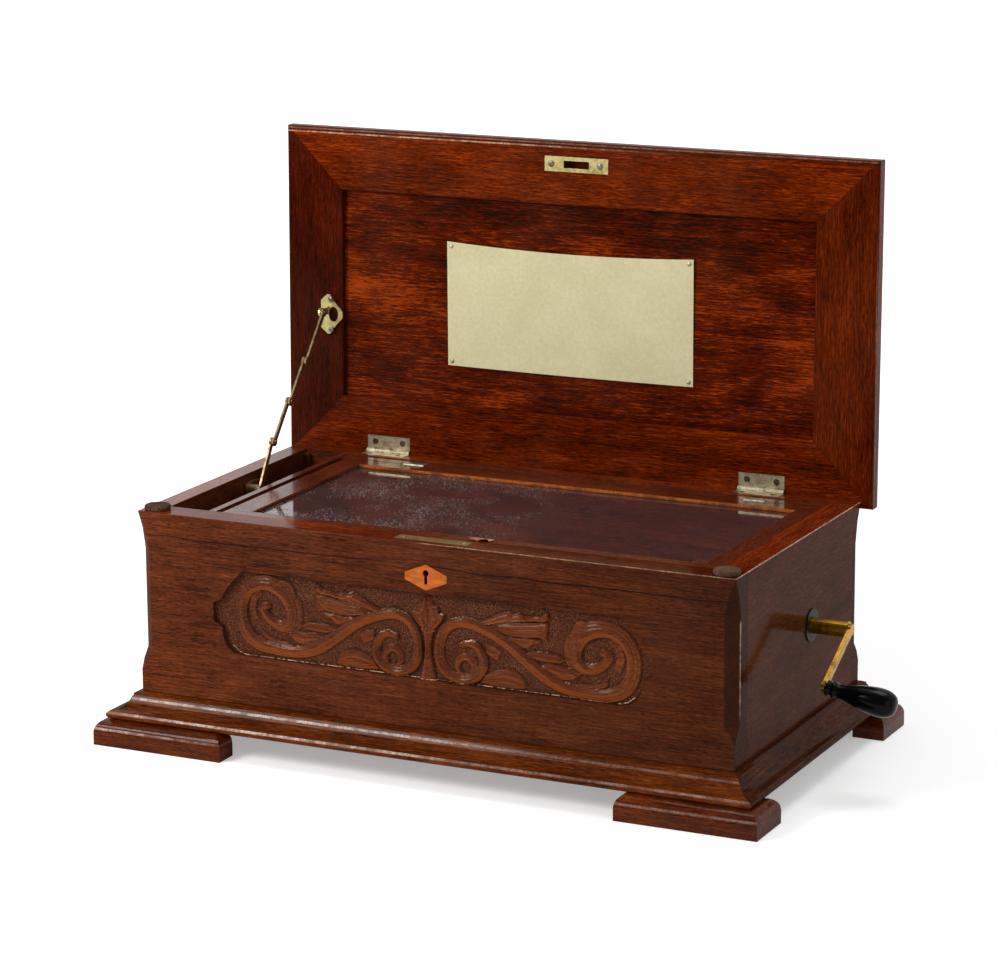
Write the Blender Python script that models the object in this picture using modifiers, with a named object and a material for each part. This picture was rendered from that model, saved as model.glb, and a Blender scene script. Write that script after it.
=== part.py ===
"""A crank-wound cylinder musical box with its lid open, one named object for each piece.

Metres, +Z up, the front towards -Y. The case is centred on X = 0 of its own frame, and
that frame is moved along X so that the origin lies under the middle of the whole object.
The lid, its stay, the glass lid, the crank and the movement's wheels stand on their axes.
"""

import math
from collections import namedtuple

import bmesh
import bpy
from mathutils import Euler, Matrix, Vector

# Clearances
SEAT_GAP = 0.0003
RUNNING_GAP = 0.0003
LID_GAP = 0.0005

# Case boards
CASE_WIDTH = 0.600
CASE_DEPTH = 0.308
CASE_HEIGHT = 0.174
FRONT_WALL = 0.027
BACK_WALL = 0.017
LEFT_WALL = 0.019
RIGHT_WALL = 0.025
BOTTOM_BOARD = 0.010
EDGE_ROUNDING = 0.0008

# Stopped chamfer with lamb's tongue ends on each corner of the case
CHAMFER_ON_FRONT = 0.011
CHAMFER_ON_SIDE = 0.012
CHAMFER_TOP_DROP = 0.0375
CHAMFER_FOOT_START = 0.0215
CHAMFER_FOOT_FULL = 0.0405

# Plinth moulding and bracket feet
PLINTH_HEIGHT = 0.0242
PLINTH_OVERHANG = 0.026
PLINTH_LIP = 0.045
PLINTH_BEAD = 0.0065
PLINTH_NOSE = 0.0036
FOOT_HEIGHT = 0.0243
FOOT_PAST_CASE_X = 0.035
FOOT_PAST_CASE_Y = 0.034
FOOT_FRONT_LENGTH = 0.136
FOOT_FRONT_DEPTH = 0.025
FOOT_SIDE_LENGTH = 0.057
FOOT_SIDE_WIDTH = 0.031
FOOT_ROUNDING = 0.012

# Carved recess in the front board
RECESS_DEPTH = 0.005
RECESS_TOP_DROP = 0.0465
RECESS_HEIGHT = 0.081
RECESS_HALF_WIDTH = 0.190
RECESS_END = 0.2125
RECESS_NIB = 0.2213
RECESS_NIB_DROP = 0.033
RECESS_NIB_HEIGHT = 0.018
RECESS_SHOULDER = 0.004

# Lock, keyhole and escutcheon
LOCK_X = 0.0005
LOCK_SETBACK = 0.01475
SELVEDGE_WIDTH = 0.073
SELVEDGE_DEPTH = 0.0135
SELVEDGE_THICKNESS = 0.0018
LOCK_WIDTH = 0.053
LOCK_DEPTH = 0.0105
LOCK_HEIGHT = 0.044
BOLT_X = 0.00425
BOLT_SETBACK = 0.0130
BOLT_WIDTH = 0.020
BOLT_THICKNESS = 0.004
BOLT_HEIGHT = 0.020
KEYHOLE_DROP = 0.0275
KEYHOLE_RADIUS = 0.0031
KEYHOLE_SLOT = 0.0030
KEYHOLE_SLOT_LENGTH = 0.0105
ESCUTCHEON_HALF_WIDTH = 0.021
ESCUTCHEON_TOP_DROP = 0.0195
ESCUTCHEON_HEIGHT = 0.024
ESCUTCHEON_END = 0.0035
ESCUTCHEON_THICKNESS = 0.0015
ESCUTCHEON_PROUD = 0.0004

# Partition, hinge strip and the glass lid
COMPARTMENT_WIDTH = 0.041
PARTITION_THICKNESS = 0.0070
GLASS_LID_FROM_PARTITION = 0.0060
GLASS_LID_DROP = 0.0010
GLASS_LID_THICKNESS = 0.016
GLASS_RAIL_LEFT = 0.025
GLASS_RAIL_RIGHT = 0.0205
GLASS_RAIL_FRONT = 0.0165
GLASS_RAIL_BACK = 0.0184
GLASS_THICKNESS = 0.0032
GLASS_SINK = 0.0033
GLASS_GROOVE = 0.005
GLASS_AXIS_FROM_STRIP = 0.0010
GLASS_AXIS_DROP = 0.0016
HINGE_STRIP_DEPTH = 0.0147
LEDGE_DEPTH = 0.010
LEDGE_HEIGHT = 0.010
TAB_X = 0.039
TAB_WIDTH = 0.022
TAB_LENGTH = 0.015
TAB_THICKNESS = 0.0012
TAB_LIFT = 0.0034

# Bumper pads on the front corners of the rim
PAD_RADIUS = 0.0122
PAD_THICKNESS = 0.0042
PAD_FROM_FRONT = 0.0125
PAD_FROM_LEFT = 0.0142
PAD_FROM_RIGHT = 0.0136

# Lid, drawn closed and turned back about its hinge axis
LID_OPEN_ANGLE = math.radians(91.0)
LID_AXIS_PAST_WALL = 0.0033
LID_FRONT_OVERHANG = 0.0087
LID_BEHIND_AXIS = 0.0083
LID_SIDE_OVERHANG = 0.010
LID_THICKNESS = 0.022
LID_RAIL = 0.061
LID_EDGE_RADIUS = 0.009
LID_LOWER_RADIUS = 0.003
PANEL_RECESS = 0.006
PANEL_THICKNESS = 0.009
PANEL_GROOVE = 0.008
CARD_X = -0.005
CARD_WIDTH = 0.260
CARD_HEIGHT = 0.123
CARD_FROM_AXIS = 0.0922
CARD_THICKNESS = 0.0004
STRIKE_WIDTH = 0.0663
STRIKE_DEPTH = 0.0146
STRIKE_THICKNESS = 0.0016
STRIKE_SLOT_WIDTH = 0.0265
STRIKE_SLOT_DEPTH = 0.0069
STRIKE_MORTISE_DEPTH = 0.012

# Lid hinges and the glass lid's hinges
HingeSize = namedtuple("HingeSize", "length knuckles radius pin leaf_width leaf_thickness")
LID_HINGE = HingeSize(0.0468, 5, 0.0030, 0.0015, 0.0157, 0.0014)
GLASS_HINGE = HingeSize(0.0220, 3, 0.0019, 0.0009, 0.0110, 0.0011)
LID_HINGE_INSETS = (0.1016, 0.1012)
GLASS_HINGE_INSETS = (0.0750, 0.0680)

# Lid stay: pivots as (Y, Z) from the lid's hinge axis with the lid open, from the lid down
STAY_FROM_WALL = 0.019
STAY_OFFSETS = (
    (-0.01330, 0.13825),
    (-0.04900, 0.09555),
    (-0.07840, 0.06075),
    (-0.10730, 0.02605),
    (-0.13230, -0.01675),
)
STAY_PITCH = 0.0029
LINK_THICKNESS = 0.0020
LINK_END_RADIUS = 0.0045
LINK_WAIST = 0.0052
RIVET_RADIUS = 0.0018
STAY_PLATE_SHIFT = 0.0018
STAY_PLATE_WIDTH = 0.0238
STAY_PLATE_HEIGHT = 0.0395
STAY_PLATE_FROM_AXIS = 0.1343
STAY_PLATE_THICKNESS = 0.002
STAY_HOLE_WIDTH = 0.0105
STAY_HOLE_HEIGHT = 0.0148
STAY_BRACKET_WIDTH = 0.026
STAY_BRACKET_HEIGHT = 0.020
STAY_BOSS_RADIUS = 0.0050

# Crank
CRANK_BEHIND_MIDDLE = 0.029
CRANK_HEIGHT = 0.0865
SHAFT_RADIUS = 0.0075
SHAFT_PAST_WALL = 0.0363
SHAFT_INNER_RADIUS = 0.0060
ARBOR_RADIUS = 0.0040
WASHER_RADIUS = 0.0155
WASHER_THICKNESS = 0.0010
ARM_LENGTH = 0.0753
ARM_ANGLE = math.radians(208.6)
ARM_WIDTH = 0.008
ARM_THICKNESS = 0.003
ARM_END_RADIUS = 0.0055
SPINDLE_RADIUS = 0.0025
GRIP_DROOP = math.radians(8.5)
GRIP_LENGTH = 0.0665
GRIP_RADIUS = 0.013
GRIP_BORE_END = 0.003
GRIP_SHAPE = (
    (0.0, 1.0),
    (0.39, 0.991),
    (0.69, 0.957),
    (0.92, 0.878),
    (1.00, 0.786),
    (0.985, 0.671),
    (0.862, 0.514),
    (0.677, 0.371),
    (0.538, 0.257),
    (0.477, 0.171),
    (0.554, 0.129),
    (0.569, 0.086),
    (0.477, 0.064),
    (0.538, 0.043),
    (0.538, 0.0),
)
RATCHET_RADIUS = 0.018
RATCHET_TEETH = 18
RATCHET_DEPTH = 0.003
RATCHET_THICKNESS = 0.004

# Movement
BEDPLATE_HEIGHT = 0.0335
BEDPLATE_THICKNESS = 0.008
BEDPLATE_FROM_PARTITION = 0.018
BEDPLATE_FROM_RIGHT = 0.013
BEDPLATE_FROM_FRONT = 0.011
BEDPLATE_FROM_BACK = 0.057
BEDPLATE_FOOT_RADIUS = 0.010
BEDPLATE_FOOT_INSET = 0.016
CYLINDER_DROP = 0.010
CYLINDER_FROM_WHEEL = 0.006
CYLINDER_FROM_BEARING = 0.014
CYLINDER_RADIUS = 0.028
CYLINDER_END_SINK = 0.002
JOURNAL_RADIUS = 0.004
BARREL_TEETH = 44
PINION_TEETH = 16
DRIVE_MODULE = 0.002
BARREL_RADIUS = 0.038
BARREL_LENGTH = 0.052
BARREL_WHEEL_FROM_WALL = 0.092
BARREL_WHEEL_THICKNESS = 0.006
PINION_EXTRA = 0.001
GOVERNOR_MODULE = 0.001
CYLINDER_WHEEL_TEETH = 52
GOVERNOR_PINION_TEETH = 13
GOVERNOR_ANGLE = math.radians(-10.0)
WHEEL_FROM_PARTITION = 0.084
WHEEL_THICKNESS = 0.004
WORM_WHEEL_TEETH = 20
WORM_WHEEL_RADIUS = 0.0120
WORM_WHEEL_FROM_PARTITION = 0.059
WORM_WHEEL_THICKNESS = 0.0025
WORM_RADIUS = 0.0030
WORM_TURNS = 4
WORM_GAP = 0.0005
FAN_RADIUS = 0.012
FAN_HEIGHT = 0.012
FAN_BLADE = 0.0004
FAN_ABOVE_CRANK = 0.015
FAN_ARBOR_RADIUS = 0.0012
COMB_ENDS = 0.011
COMB_PITCH = 0.0040
COMB_TOOTH = 0.0029
COMB_FROM_EDGE = 0.0052
COMB_BASE_DEPTH = 0.016
COMB_THICKNESS = 0.0030
COMB_TIP_GAP = 0.0006
FRAME_BASE = 0.006
FRAME_PLATE = 0.008
LEFT_BEARING_FROM_PARTITION = 0.0735
RIGHT_BEARING_FROM_WALL = 0.101
BARREL_BEARING_FROM_WALL = 0.025
BEARING_HEAD = 0.013
LEVER_FROM_PARTITION = 0.028
LEVER_FROM_FAN = 0.02735
LEVER_ABOVE_CRANK = 0.012
LEVER_THICKNESS = 0.002
LEVER_BACK = 0.046
LEVER_FRONT = 0.058
LEVER_POST_RADIUS = 0.005
LEVER_PIN_RADIUS = 0.0024
LEVER_KNOB_RADIUS = 0.0045
LEVER_KNOB_HEIGHT = 0.010

# Heights and faces that follow from the sizes above
CASE_LEFT = -CASE_WIDTH / 2
CASE_RIGHT = CASE_WIDTH / 2
CASE_FRONT = -CASE_DEPTH / 2
CASE_BACK = CASE_DEPTH / 2
CASE_BOTTOM = FOOT_HEIGHT + PLINTH_HEIGHT
RIM = CASE_BOTTOM + CASE_HEIGHT
INNER_LEFT = CASE_LEFT + LEFT_WALL
INNER_RIGHT = CASE_RIGHT - RIGHT_WALL
INNER_FRONT = CASE_FRONT + FRONT_WALL
INNER_BACK = CASE_BACK - BACK_WALL
BOARD_LOW = CASE_BOTTOM + SEAT_GAP
BOARD_TOP = BOARD_LOW + BOTTOM_BOARD
PARTITION_X = INNER_LEFT + COMPARTMENT_WIDTH
GLASS_LID_LEFT = PARTITION_X + PARTITION_THICKNESS + GLASS_LID_FROM_PARTITION
GLASS_LID_TOP = RIM - GLASS_LID_DROP
GLASS_LID_LOW = GLASS_LID_TOP - GLASS_LID_THICKNESS
GLASS_AXIS_Z = RIM - GLASS_AXIS_DROP
GLASS_AXIS_Y = INNER_BACK - SEAT_GAP - HINGE_STRIP_DEPTH - GLASS_AXIS_FROM_STRIP
GLASS_LID_RIGHT = INNER_RIGHT - 0.0005
GLASS_HINGE_X = (
    GLASS_LID_LEFT + GLASS_HINGE_INSETS[0],
    GLASS_LID_RIGHT - GLASS_HINGE_INSETS[1],
)
RECESS_TOP = RIM - RECESS_TOP_DROP
RECESS_BOTTOM = RECESS_TOP - RECESS_HEIGHT
RECESS_NIB_TOP = RECESS_TOP - RECESS_NIB_DROP
RECESS_NIB_BOTTOM = RECESS_NIB_TOP - RECESS_NIB_HEIGHT
LOCK_Y = CASE_FRONT + LOCK_SETBACK
BOLT_Y = CASE_FRONT + BOLT_SETBACK
KEYHOLE_Z = RIM - KEYHOLE_DROP
KEYHOLE_FOOT_Z = KEYHOLE_Z - KEYHOLE_SLOT_LENGTH
ESCUTCHEON_TOP = RIM - ESCUTCHEON_TOP_DROP
ESCUTCHEON_BOTTOM = ESCUTCHEON_TOP - ESCUTCHEON_HEIGHT
LID_AXIS_Y = CASE_BACK + LID_AXIS_PAST_WALL
LID_AXIS_Z = RIM + LID_GAP / 2
LID_UNDERSIDE = LID_GAP / 2
LID_LENGTH = LID_AXIS_PAST_WALL + CASE_DEPTH + LID_FRONT_OVERHANG
LID_HINGE_X = (CASE_LEFT + LID_HINGE_INSETS[0], CASE_RIGHT - LID_HINGE_INSETS[1])
STRIKE_X = BOLT_X
STRIKE_FROM_AXIS = LID_AXIS_Y - BOLT_Y
STAY_X = INNER_LEFT + STAY_FROM_WALL
STAY_PLATE_X = STAY_X + STAY_PLATE_SHIFT
STAY_PIVOTS = tuple((LID_AXIS_Y + y, LID_AXIS_Z + z) for y, z in STAY_OFFSETS)
CRANK_Y = CRANK_BEHIND_MIDDLE
CRANK_Z = CASE_BOTTOM + CRANK_HEIGHT
BEDPLATE_TOP = CASE_BOTTOM + BEDPLATE_HEIGHT
BEDPLATE_LEFT = PARTITION_X + BEDPLATE_FROM_PARTITION
BEDPLATE_RIGHT = INNER_RIGHT - BEDPLATE_FROM_RIGHT
BEDPLATE_FRONT = INNER_FRONT + BEDPLATE_FROM_FRONT
BEDPLATE_BACK = INNER_BACK - BEDPLATE_FROM_BACK
BARREL_WHEEL_X = INNER_RIGHT - BARREL_WHEEL_FROM_WALL
RIGHT_BEARING_X = INNER_RIGHT - RIGHT_BEARING_FROM_WALL
BARREL_BEARING_X = INNER_RIGHT - BARREL_BEARING_FROM_WALL
WHEEL_X = PARTITION_X + WHEEL_FROM_PARTITION
WORM_WHEEL_X = PARTITION_X + WORM_WHEEL_FROM_PARTITION
LEFT_BEARING_X = PARTITION_X + LEFT_BEARING_FROM_PARTITION
CYLINDER_LEFT = WHEEL_X + CYLINDER_FROM_WHEEL
CYLINDER_RIGHT = RIGHT_BEARING_X - CYLINDER_FROM_BEARING
COMB_X = (CYLINDER_LEFT + CYLINDER_RIGHT) / 2
COMB_TEETH = round((CYLINDER_RIGHT - CYLINDER_LEFT - 2 * COMB_ENDS) / COMB_PITCH)
CYLINDER_Z = CRANK_Z - CYLINDER_DROP
DRIVE_DISTANCE = DRIVE_MODULE * (BARREL_TEETH + PINION_TEETH) / 2
CYLINDER_Y = CRANK_Y - math.sqrt(DRIVE_DISTANCE**2 - CYLINDER_DROP**2)
GOVERNOR_DISTANCE = GOVERNOR_MODULE * (CYLINDER_WHEEL_TEETH + GOVERNOR_PINION_TEETH) / 2
GOVERNOR_Y = CYLINDER_Y + GOVERNOR_DISTANCE * math.cos(GOVERNOR_ANGLE)
GOVERNOR_Z = CYLINDER_Z + GOVERNOR_DISTANCE * math.sin(GOVERNOR_ANGLE)
FAN_X = WORM_WHEEL_X
FAN_Y = GOVERNOR_Y + WORM_WHEEL_RADIUS + WORM_RADIUS + WORM_GAP
FAN_Z = CRANK_Z + FAN_ABOVE_CRANK
LEVER_X = PARTITION_X + LEVER_FROM_PARTITION
LEVER_Y = FAN_Y - LEVER_FROM_FAN
LEVER_Z = CRANK_Z + LEVER_ABOVE_CRANK
COMB_TIP_Y = CYLINDER_Y - CYLINDER_RADIUS - COMB_TIP_GAP
COMB_BACK_Y = BEDPLATE_FRONT + COMB_FROM_EDGE
COMB_TOOTH_LENGTH = COMB_TIP_Y - COMB_BACK_Y - COMB_BASE_DEPTH
WORM_MODULE = WORM_WHEEL_RADIUS / (WORM_WHEEL_TEETH / 2 + 0.9)
WORM_LENGTH = WORM_TURNS * math.pi * WORM_MODULE
FRAME_TOP = BEDPLATE_TOP + SEAT_GAP + FRAME_BASE
ARM_PLANE = SHAFT_PAST_WALL + SEAT_GAP + ARM_THICKNESS / 2
COLLAR_DIP = GRIP_RADIUS * GRIP_SHAPE[-1][0] * math.sin(GRIP_DROOP)
GRIP_FROM_ARM = (ARM_THICKNESS / 2 + RUNNING_GAP + COLLAR_DIP) / math.cos(GRIP_DROOP)
GRIP_REACH = max(
    (GRIP_FROM_ARM + GRIP_LENGTH * height) * math.cos(GRIP_DROOP)
    + GRIP_RADIUS * radius * math.sin(GRIP_DROOP)
    for radius, height in GRIP_SHAPE
)
LOWEST_TO_HIGHEST_X = (
    CASE_LEFT - FOOT_PAST_CASE_X,
    CASE_RIGHT + ARM_PLANE + GRIP_REACH,
)

# Colour, roughness and metallic value of each finish
MAHOGANY = ((0.130, 0.032, 0.012), 0.28, 0.0)
MAHOGANY_DARK = ((0.070, 0.022, 0.012), 0.32, 0.0)
PINE = ((0.330, 0.190, 0.085), 0.60, 0.0)
BRASS = ((0.560, 0.400, 0.120), 0.28, 1.0)
BRIGHT_METAL = ((0.620, 0.580, 0.440), 0.32, 1.0)
STEEL = ((0.420, 0.430, 0.450), 0.25, 1.0)
EBONY = ((0.010, 0.009, 0.009), 0.18, 0.0)
FELT = ((0.085, 0.045, 0.028), 0.95, 0.0)
PAPER = ((0.600, 0.545, 0.330), 0.80, 0.0)
GLASS = ((0.300, 0.330, 0.340), 0.04, 0.0)
IRON = ((0.050, 0.050, 0.055), 0.45, 1.0)

# Local X, Y and Z of a flat or turned piece laid along world Y, Z and X, or X, Z and -Y
ALONG_X = (Matrix.Rotation(math.pi / 2, 3, "Z") @ Matrix.Rotation(math.pi / 2, 3, "X")).to_euler()
TOWARDS_FRONT = Euler((math.pi / 2, 0.0, 0.0))
UPRIGHT = Euler((0.0, 0.0, 0.0))

PARTS = "music_box"
CUTTERS = "music_box_cutters"


def clear_scene():
    """Empty the scene and make the two collections."""
    for obj in list(bpy.data.objects):
        bpy.data.objects.remove(obj, do_unlink=True)
    for name in (PARTS, CUTTERS):
        collection = bpy.data.collections.new(name)
        bpy.context.scene.collection.children.link(collection)


def add(name, data, parent, helper=False):
    """Put a new object into the parts, or into the cutters where it is a helper."""
    obj = bpy.data.objects.new(name, data)
    bpy.data.collections[CUTTERS if helper else PARTS].objects.link(obj)
    obj.parent = parent
    if helper:
        obj.hide_render = True
        obj.display_type = "WIRE"
    return obj


def axis_empty(name, location, parent=None, rotation=UPRIGHT):
    """An empty that carries pieces on an axis or in a frame."""
    empty = bpy.data.objects.new(name, None)
    bpy.context.scene.collection.objects.link(empty)
    empty.parent = parent
    empty.location = location
    empty.rotation_euler = rotation
    return empty


def mesh_from(name, shape):
    """A mesh from a bmesh, with its faces turned outwards."""
    bmesh.ops.recalc_face_normals(shape, faces=shape.faces)
    mesh = bpy.data.meshes.new(name)
    shape.to_mesh(mesh)
    shape.free()
    return mesh


def box(name, low, high, parent, helper=False):
    """A block between two corners, with its origin at its centre."""
    low, high = Vector(low), Vector(high)
    shape = bmesh.new()
    bmesh.ops.create_cube(shape, size=1.0)
    bmesh.ops.scale(shape, vec=high - low, verts=shape.verts)
    obj = add(name, mesh_from(name, shape), parent, helper)
    obj.location = (low + high) / 2
    return obj


def turned(name, profile, location, rotation, parent, steps=24, closed=False, helper=False):
    """A round piece: (radius, height) points down the outer side, turned about local Z."""
    mesh = bpy.data.meshes.new(name)
    edges = [(i, i + 1) for i in range(len(profile) - 1)]
    if closed:
        edges.append((len(profile) - 1, 0))
    mesh.from_pydata([(radius, 0.0, height) for radius, height in profile], edges, [])
    obj = add(name, mesh, parent, helper)
    obj.location = location
    obj.rotation_euler = rotation
    screw = obj.modifiers.new("turn", "SCREW")
    screw.steps = screw.render_steps = steps
    screw.use_merge_vertices = True
    screw.merge_threshold = 0.00001
    return obj


def rod(name, radius, low, high, location, rotation, parent, steps=24, helper=False):
    """A plain cylinder between two heights on local Z."""
    profile = [(0.0, high), (radius, high), (radius, low), (0.0, low)]
    return turned(name, profile, location, rotation, parent, steps, helper=helper)


def tube(name, outer, inner, low, high, location, rotation, parent, steps=24, helper=False):
    """A cylinder with a bore right through it."""
    profile = [(outer, high), (outer, low), (inner, low), (inner, high)]
    return turned(name, profile, location, rotation, parent, steps, closed=True, helper=helper)


def flat(name, loops, thickness, location, rotation, parent, helper=False):
    """A flat outline with any holes in local XY, half of its thickness on either side."""
    curve = bpy.data.curves.new(name, "CURVE")
    curve.dimensions = "2D"
    curve.fill_mode = "BOTH"
    curve.extrude = thickness / 2
    for loop in loops:
        spline = curve.splines.new("POLY")
        spline.points.add(len(loop) - 1)
        for point, (x, y) in zip(spline.points, loop):
            point.co = (x, y, 0.0, 1.0)
        spline.use_cyclic_u = True
    outline = bpy.data.objects.new(name + "_outline", curve)
    bpy.context.scene.collection.objects.link(outline)
    graph = bpy.context.evaluated_depsgraph_get()
    mesh = bpy.data.meshes.new_from_object(outline.evaluated_get(graph))
    bpy.data.objects.remove(outline, do_unlink=True)
    shape = bmesh.new()
    shape.from_mesh(mesh)
    bmesh.ops.remove_doubles(shape, verts=shape.verts, dist=0.000001)
    bpy.data.meshes.remove(mesh)
    obj = add(name, mesh_from(name, shape), parent, helper)
    obj.location = location
    obj.rotation_euler = rotation
    return obj


def loft(name, rings, parent, helper=False):
    """A closed body through rings of as many points each, capped at both ends."""
    shape = bmesh.new()
    rows = [[shape.verts.new(point) for point in ring] for ring in rings]
    count = len(rings[0])
    for row, following in zip(rows[:-1], rows[1:]):
        for i in range(count):
            j = (i + 1) % count
            shape.faces.new((row[i], row[j], following[j], following[i]))
    shape.faces.new(rows[0])
    shape.faces.new(rows[-1])
    return add(name, mesh_from(name, shape), parent, helper)


def boolean(obj, other, operation):
    """Cut a helper out of an object, or join it on."""
    modifier = obj.modifiers.new(other.name, "BOOLEAN")
    modifier.operation = operation
    modifier.object = other


def cut(obj, *others):
    """Cut helpers out of an object."""
    for other in others:
        boolean(obj, other, "DIFFERENCE")


def join(obj, *others):
    """Make helpers part of an object's one body."""
    for other in others:
        boolean(obj, other, "UNION")


def round_edges(obj, width=EDGE_ROUNDING, segments=1):
    """Ease the sharp edges of a board."""
    bevel = obj.modifiers.new("eased_edges", "BEVEL")
    bevel.width = width
    bevel.segments = segments
    bevel.limit_method = "ANGLE"


def finish(obj, look):
    """Give an object its own material."""
    colour, roughness, metallic = look
    material = bpy.data.materials.new(obj.name + "_finish")
    material.use_nodes = True
    shader = material.node_tree.nodes["Principled BSDF"]
    shader.inputs["Base Color"].default_value = (*colour, 1.0)
    shader.inputs["Roughness"].default_value = roughness
    shader.inputs["Metallic"].default_value = metallic
    material.diffuse_color = (*colour, 1.0)
    obj.data.materials.append(material)
    return obj


def arc(centre_x, centre_y, radius, start, end, steps):
    """Points on an arc between two angles in degrees."""
    points = []
    for i in range(steps + 1):
        angle = math.radians(start + (end - start) * i / steps)
        points.append((centre_x + radius * math.cos(angle), centre_y + radius * math.sin(angle)))
    return points


def circle(centre_x, centre_y, radius, steps=24):
    """Points round a full circle."""
    return arc(centre_x, centre_y, radius, 0, 360, steps)[:-1]


def curve_between(start, pull, end, steps):
    """Points on a quadratic curve that leaves and meets its ends along its pull point."""
    points = []
    for i in range(steps + 1):
        t = i / steps
        weights = ((1 - t) ** 2, 2 * t * (1 - t), t**2)
        points.append(
            tuple(sum(w * p[k] for w, p in zip(weights, (start, pull, end))) for k in (0, 1))
        )
    return points


def bar(ends, waist, end_radius, steps=8):
    """The outline of a flat link along local X, round at both ends and slimmer between."""
    start, end = ends
    reach = math.degrees(math.asin(waist / 2 / end_radius))
    head = arc(end, 0.0, end_radius, reach - 180, 180 - reach, steps)
    tail = arc(start, 0.0, end_radius, reach, 360 - reach, steps)
    return head + tail


def frame_side(name, profile, inner, outer, side, parent):
    """One mitred side of a frame: (outward, height) points from its inner edge, swept along."""
    inner_x, inner_y = (inner[0], inner[1]), (inner[2], inner[3])
    outer_x, outer_y = (outer[0], outer[1]), (outer[2], outer[3])
    corners = {"front": ((0, 0), (1, 0)), "right": ((1, 0), (1, 1))}
    corners.update({"back": ((1, 1), (0, 1)), "left": ((0, 1), (0, 0))})
    widths = {"front": inner[2] - outer[2], "back": outer[3] - inner[3]}
    widths.update({"left": inner[0] - outer[0], "right": outer[1] - inner[1]})
    middle = Vector(((inner[0] + inner[1]) / 2, (inner[2] + inner[3]) / 2))
    shift = SEAT_GAP / math.sqrt(2)
    rings = []
    for i, j in corners[side]:
        ring = []
        for outward, height in profile:
            share = outward / widths[side]
            x = inner_x[i] + (outer_x[i] - inner_x[i]) * share
            y = inner_y[j] + (outer_y[j] - inner_y[j]) * share
            if side in ("front", "back"):
                x += shift if x < middle.x else -shift
            else:
                y += shift if y < middle.y else -shift
            ring.append((x, y, height))
        rings.append(ring)
    return loft(name, rings, parent)


def gear_outline(teeth, module, phase, addendum=0.9, dedendum=1.15, share=0.42):
    """A spur gear's outline, straight-flanked, with a tooth centred on the phase angle."""
    pitch_radius = teeth * module / 2
    tip = pitch_radius + addendum * module
    root = pitch_radius - dedendum * module
    slope = math.tan(math.radians(20))
    half_pitch_line = share * math.pi * module / 2
    half_tip = (half_pitch_line - addendum * module * slope) / tip
    half_root = (half_pitch_line + dedendum * module * slope) / root
    points = []
    for i in range(teeth):
        middle = phase + 2 * math.pi * i / teeth
        for radius, turn in ((root, -half_root), (tip, -half_tip), (tip, half_tip), (root, half_root)):
            points.append((radius * math.cos(middle + turn), radius * math.sin(middle + turn)))
    return points


def chamfer_cutter(name, x_sign, y_sign, frame):
    """The stopped chamfer of one corner, which fades out towards the rim and the plinth."""
    corner_x = x_sign * CASE_WIDTH / 2
    corner_y = y_sign * CASE_DEPTH / 2
    stations = (
        (CASE_BOTTOM + CHAMFER_FOOT_START, 0.02),
        (CASE_BOTTOM + 0.5 * (CHAMFER_FOOT_START + CHAMFER_FOOT_FULL), 0.36),
        (CASE_BOTTOM + CHAMFER_FOOT_FULL, 1.0),
        (RIM - CHAMFER_TOP_DROP, 1.0),
        (RIM - 0.45 * CHAMFER_TOP_DROP, 0.62),
        (RIM - 0.0005, 0.02),
    )
    spare = 0.004
    rings = []
    for height, share in stations:
        along_x = CHAMFER_ON_FRONT * share
        along_y = CHAMFER_ON_SIDE * share
        rings.append(
            [
                (corner_x - x_sign * along_x, corner_y, height),
                (corner_x, corner_y - y_sign * along_y, height),
                (corner_x + x_sign * spare, corner_y - y_sign * along_y, height),
                (corner_x + x_sign * spare, corner_y + y_sign * spare, height),
                (corner_x - x_sign * along_x, corner_y + y_sign * spare, height),
            ]
        )
    return loft(name, rings, frame, helper=True)


def recess_outline():
    """The carved panel's outline in X and Z: straight above and below, a nib at each end."""
    shoulder = (RECESS_TOP - RECESS_NIB_TOP) * 0.55
    right = curve_between(
        (RECESS_HALF_WIDTH, RECESS_BOTTOM),
        (RECESS_END, RECESS_BOTTOM),
        (RECESS_END, RECESS_NIB_BOTTOM - RECESS_SHOULDER),
        4,
    )
    right += [(RECESS_NIB, RECESS_NIB_BOTTOM), (RECESS_NIB, RECESS_NIB_TOP)]
    right += curve_between(
        (RECESS_END, RECESS_NIB_TOP + RECESS_SHOULDER),
        (RECESS_END - RECESS_SHOULDER, RECESS_TOP - shoulder),
        (RECESS_HALF_WIDTH, RECESS_TOP),
        4,
    )
    return right + [(-x, z) for x, z in reversed(right)]


def keyhole_outline():
    """A round hole over a slot, in X and Z."""
    half = KEYHOLE_SLOT / 2
    reach = math.degrees(math.asin(half / KEYHOLE_RADIUS))
    head = arc(0.0, KEYHOLE_Z, KEYHOLE_RADIUS, reach - 90, 270 - reach, 12)
    return head + [(-half, KEYHOLE_FOOT_Z), (half, KEYHOLE_FOOT_Z)]


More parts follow.
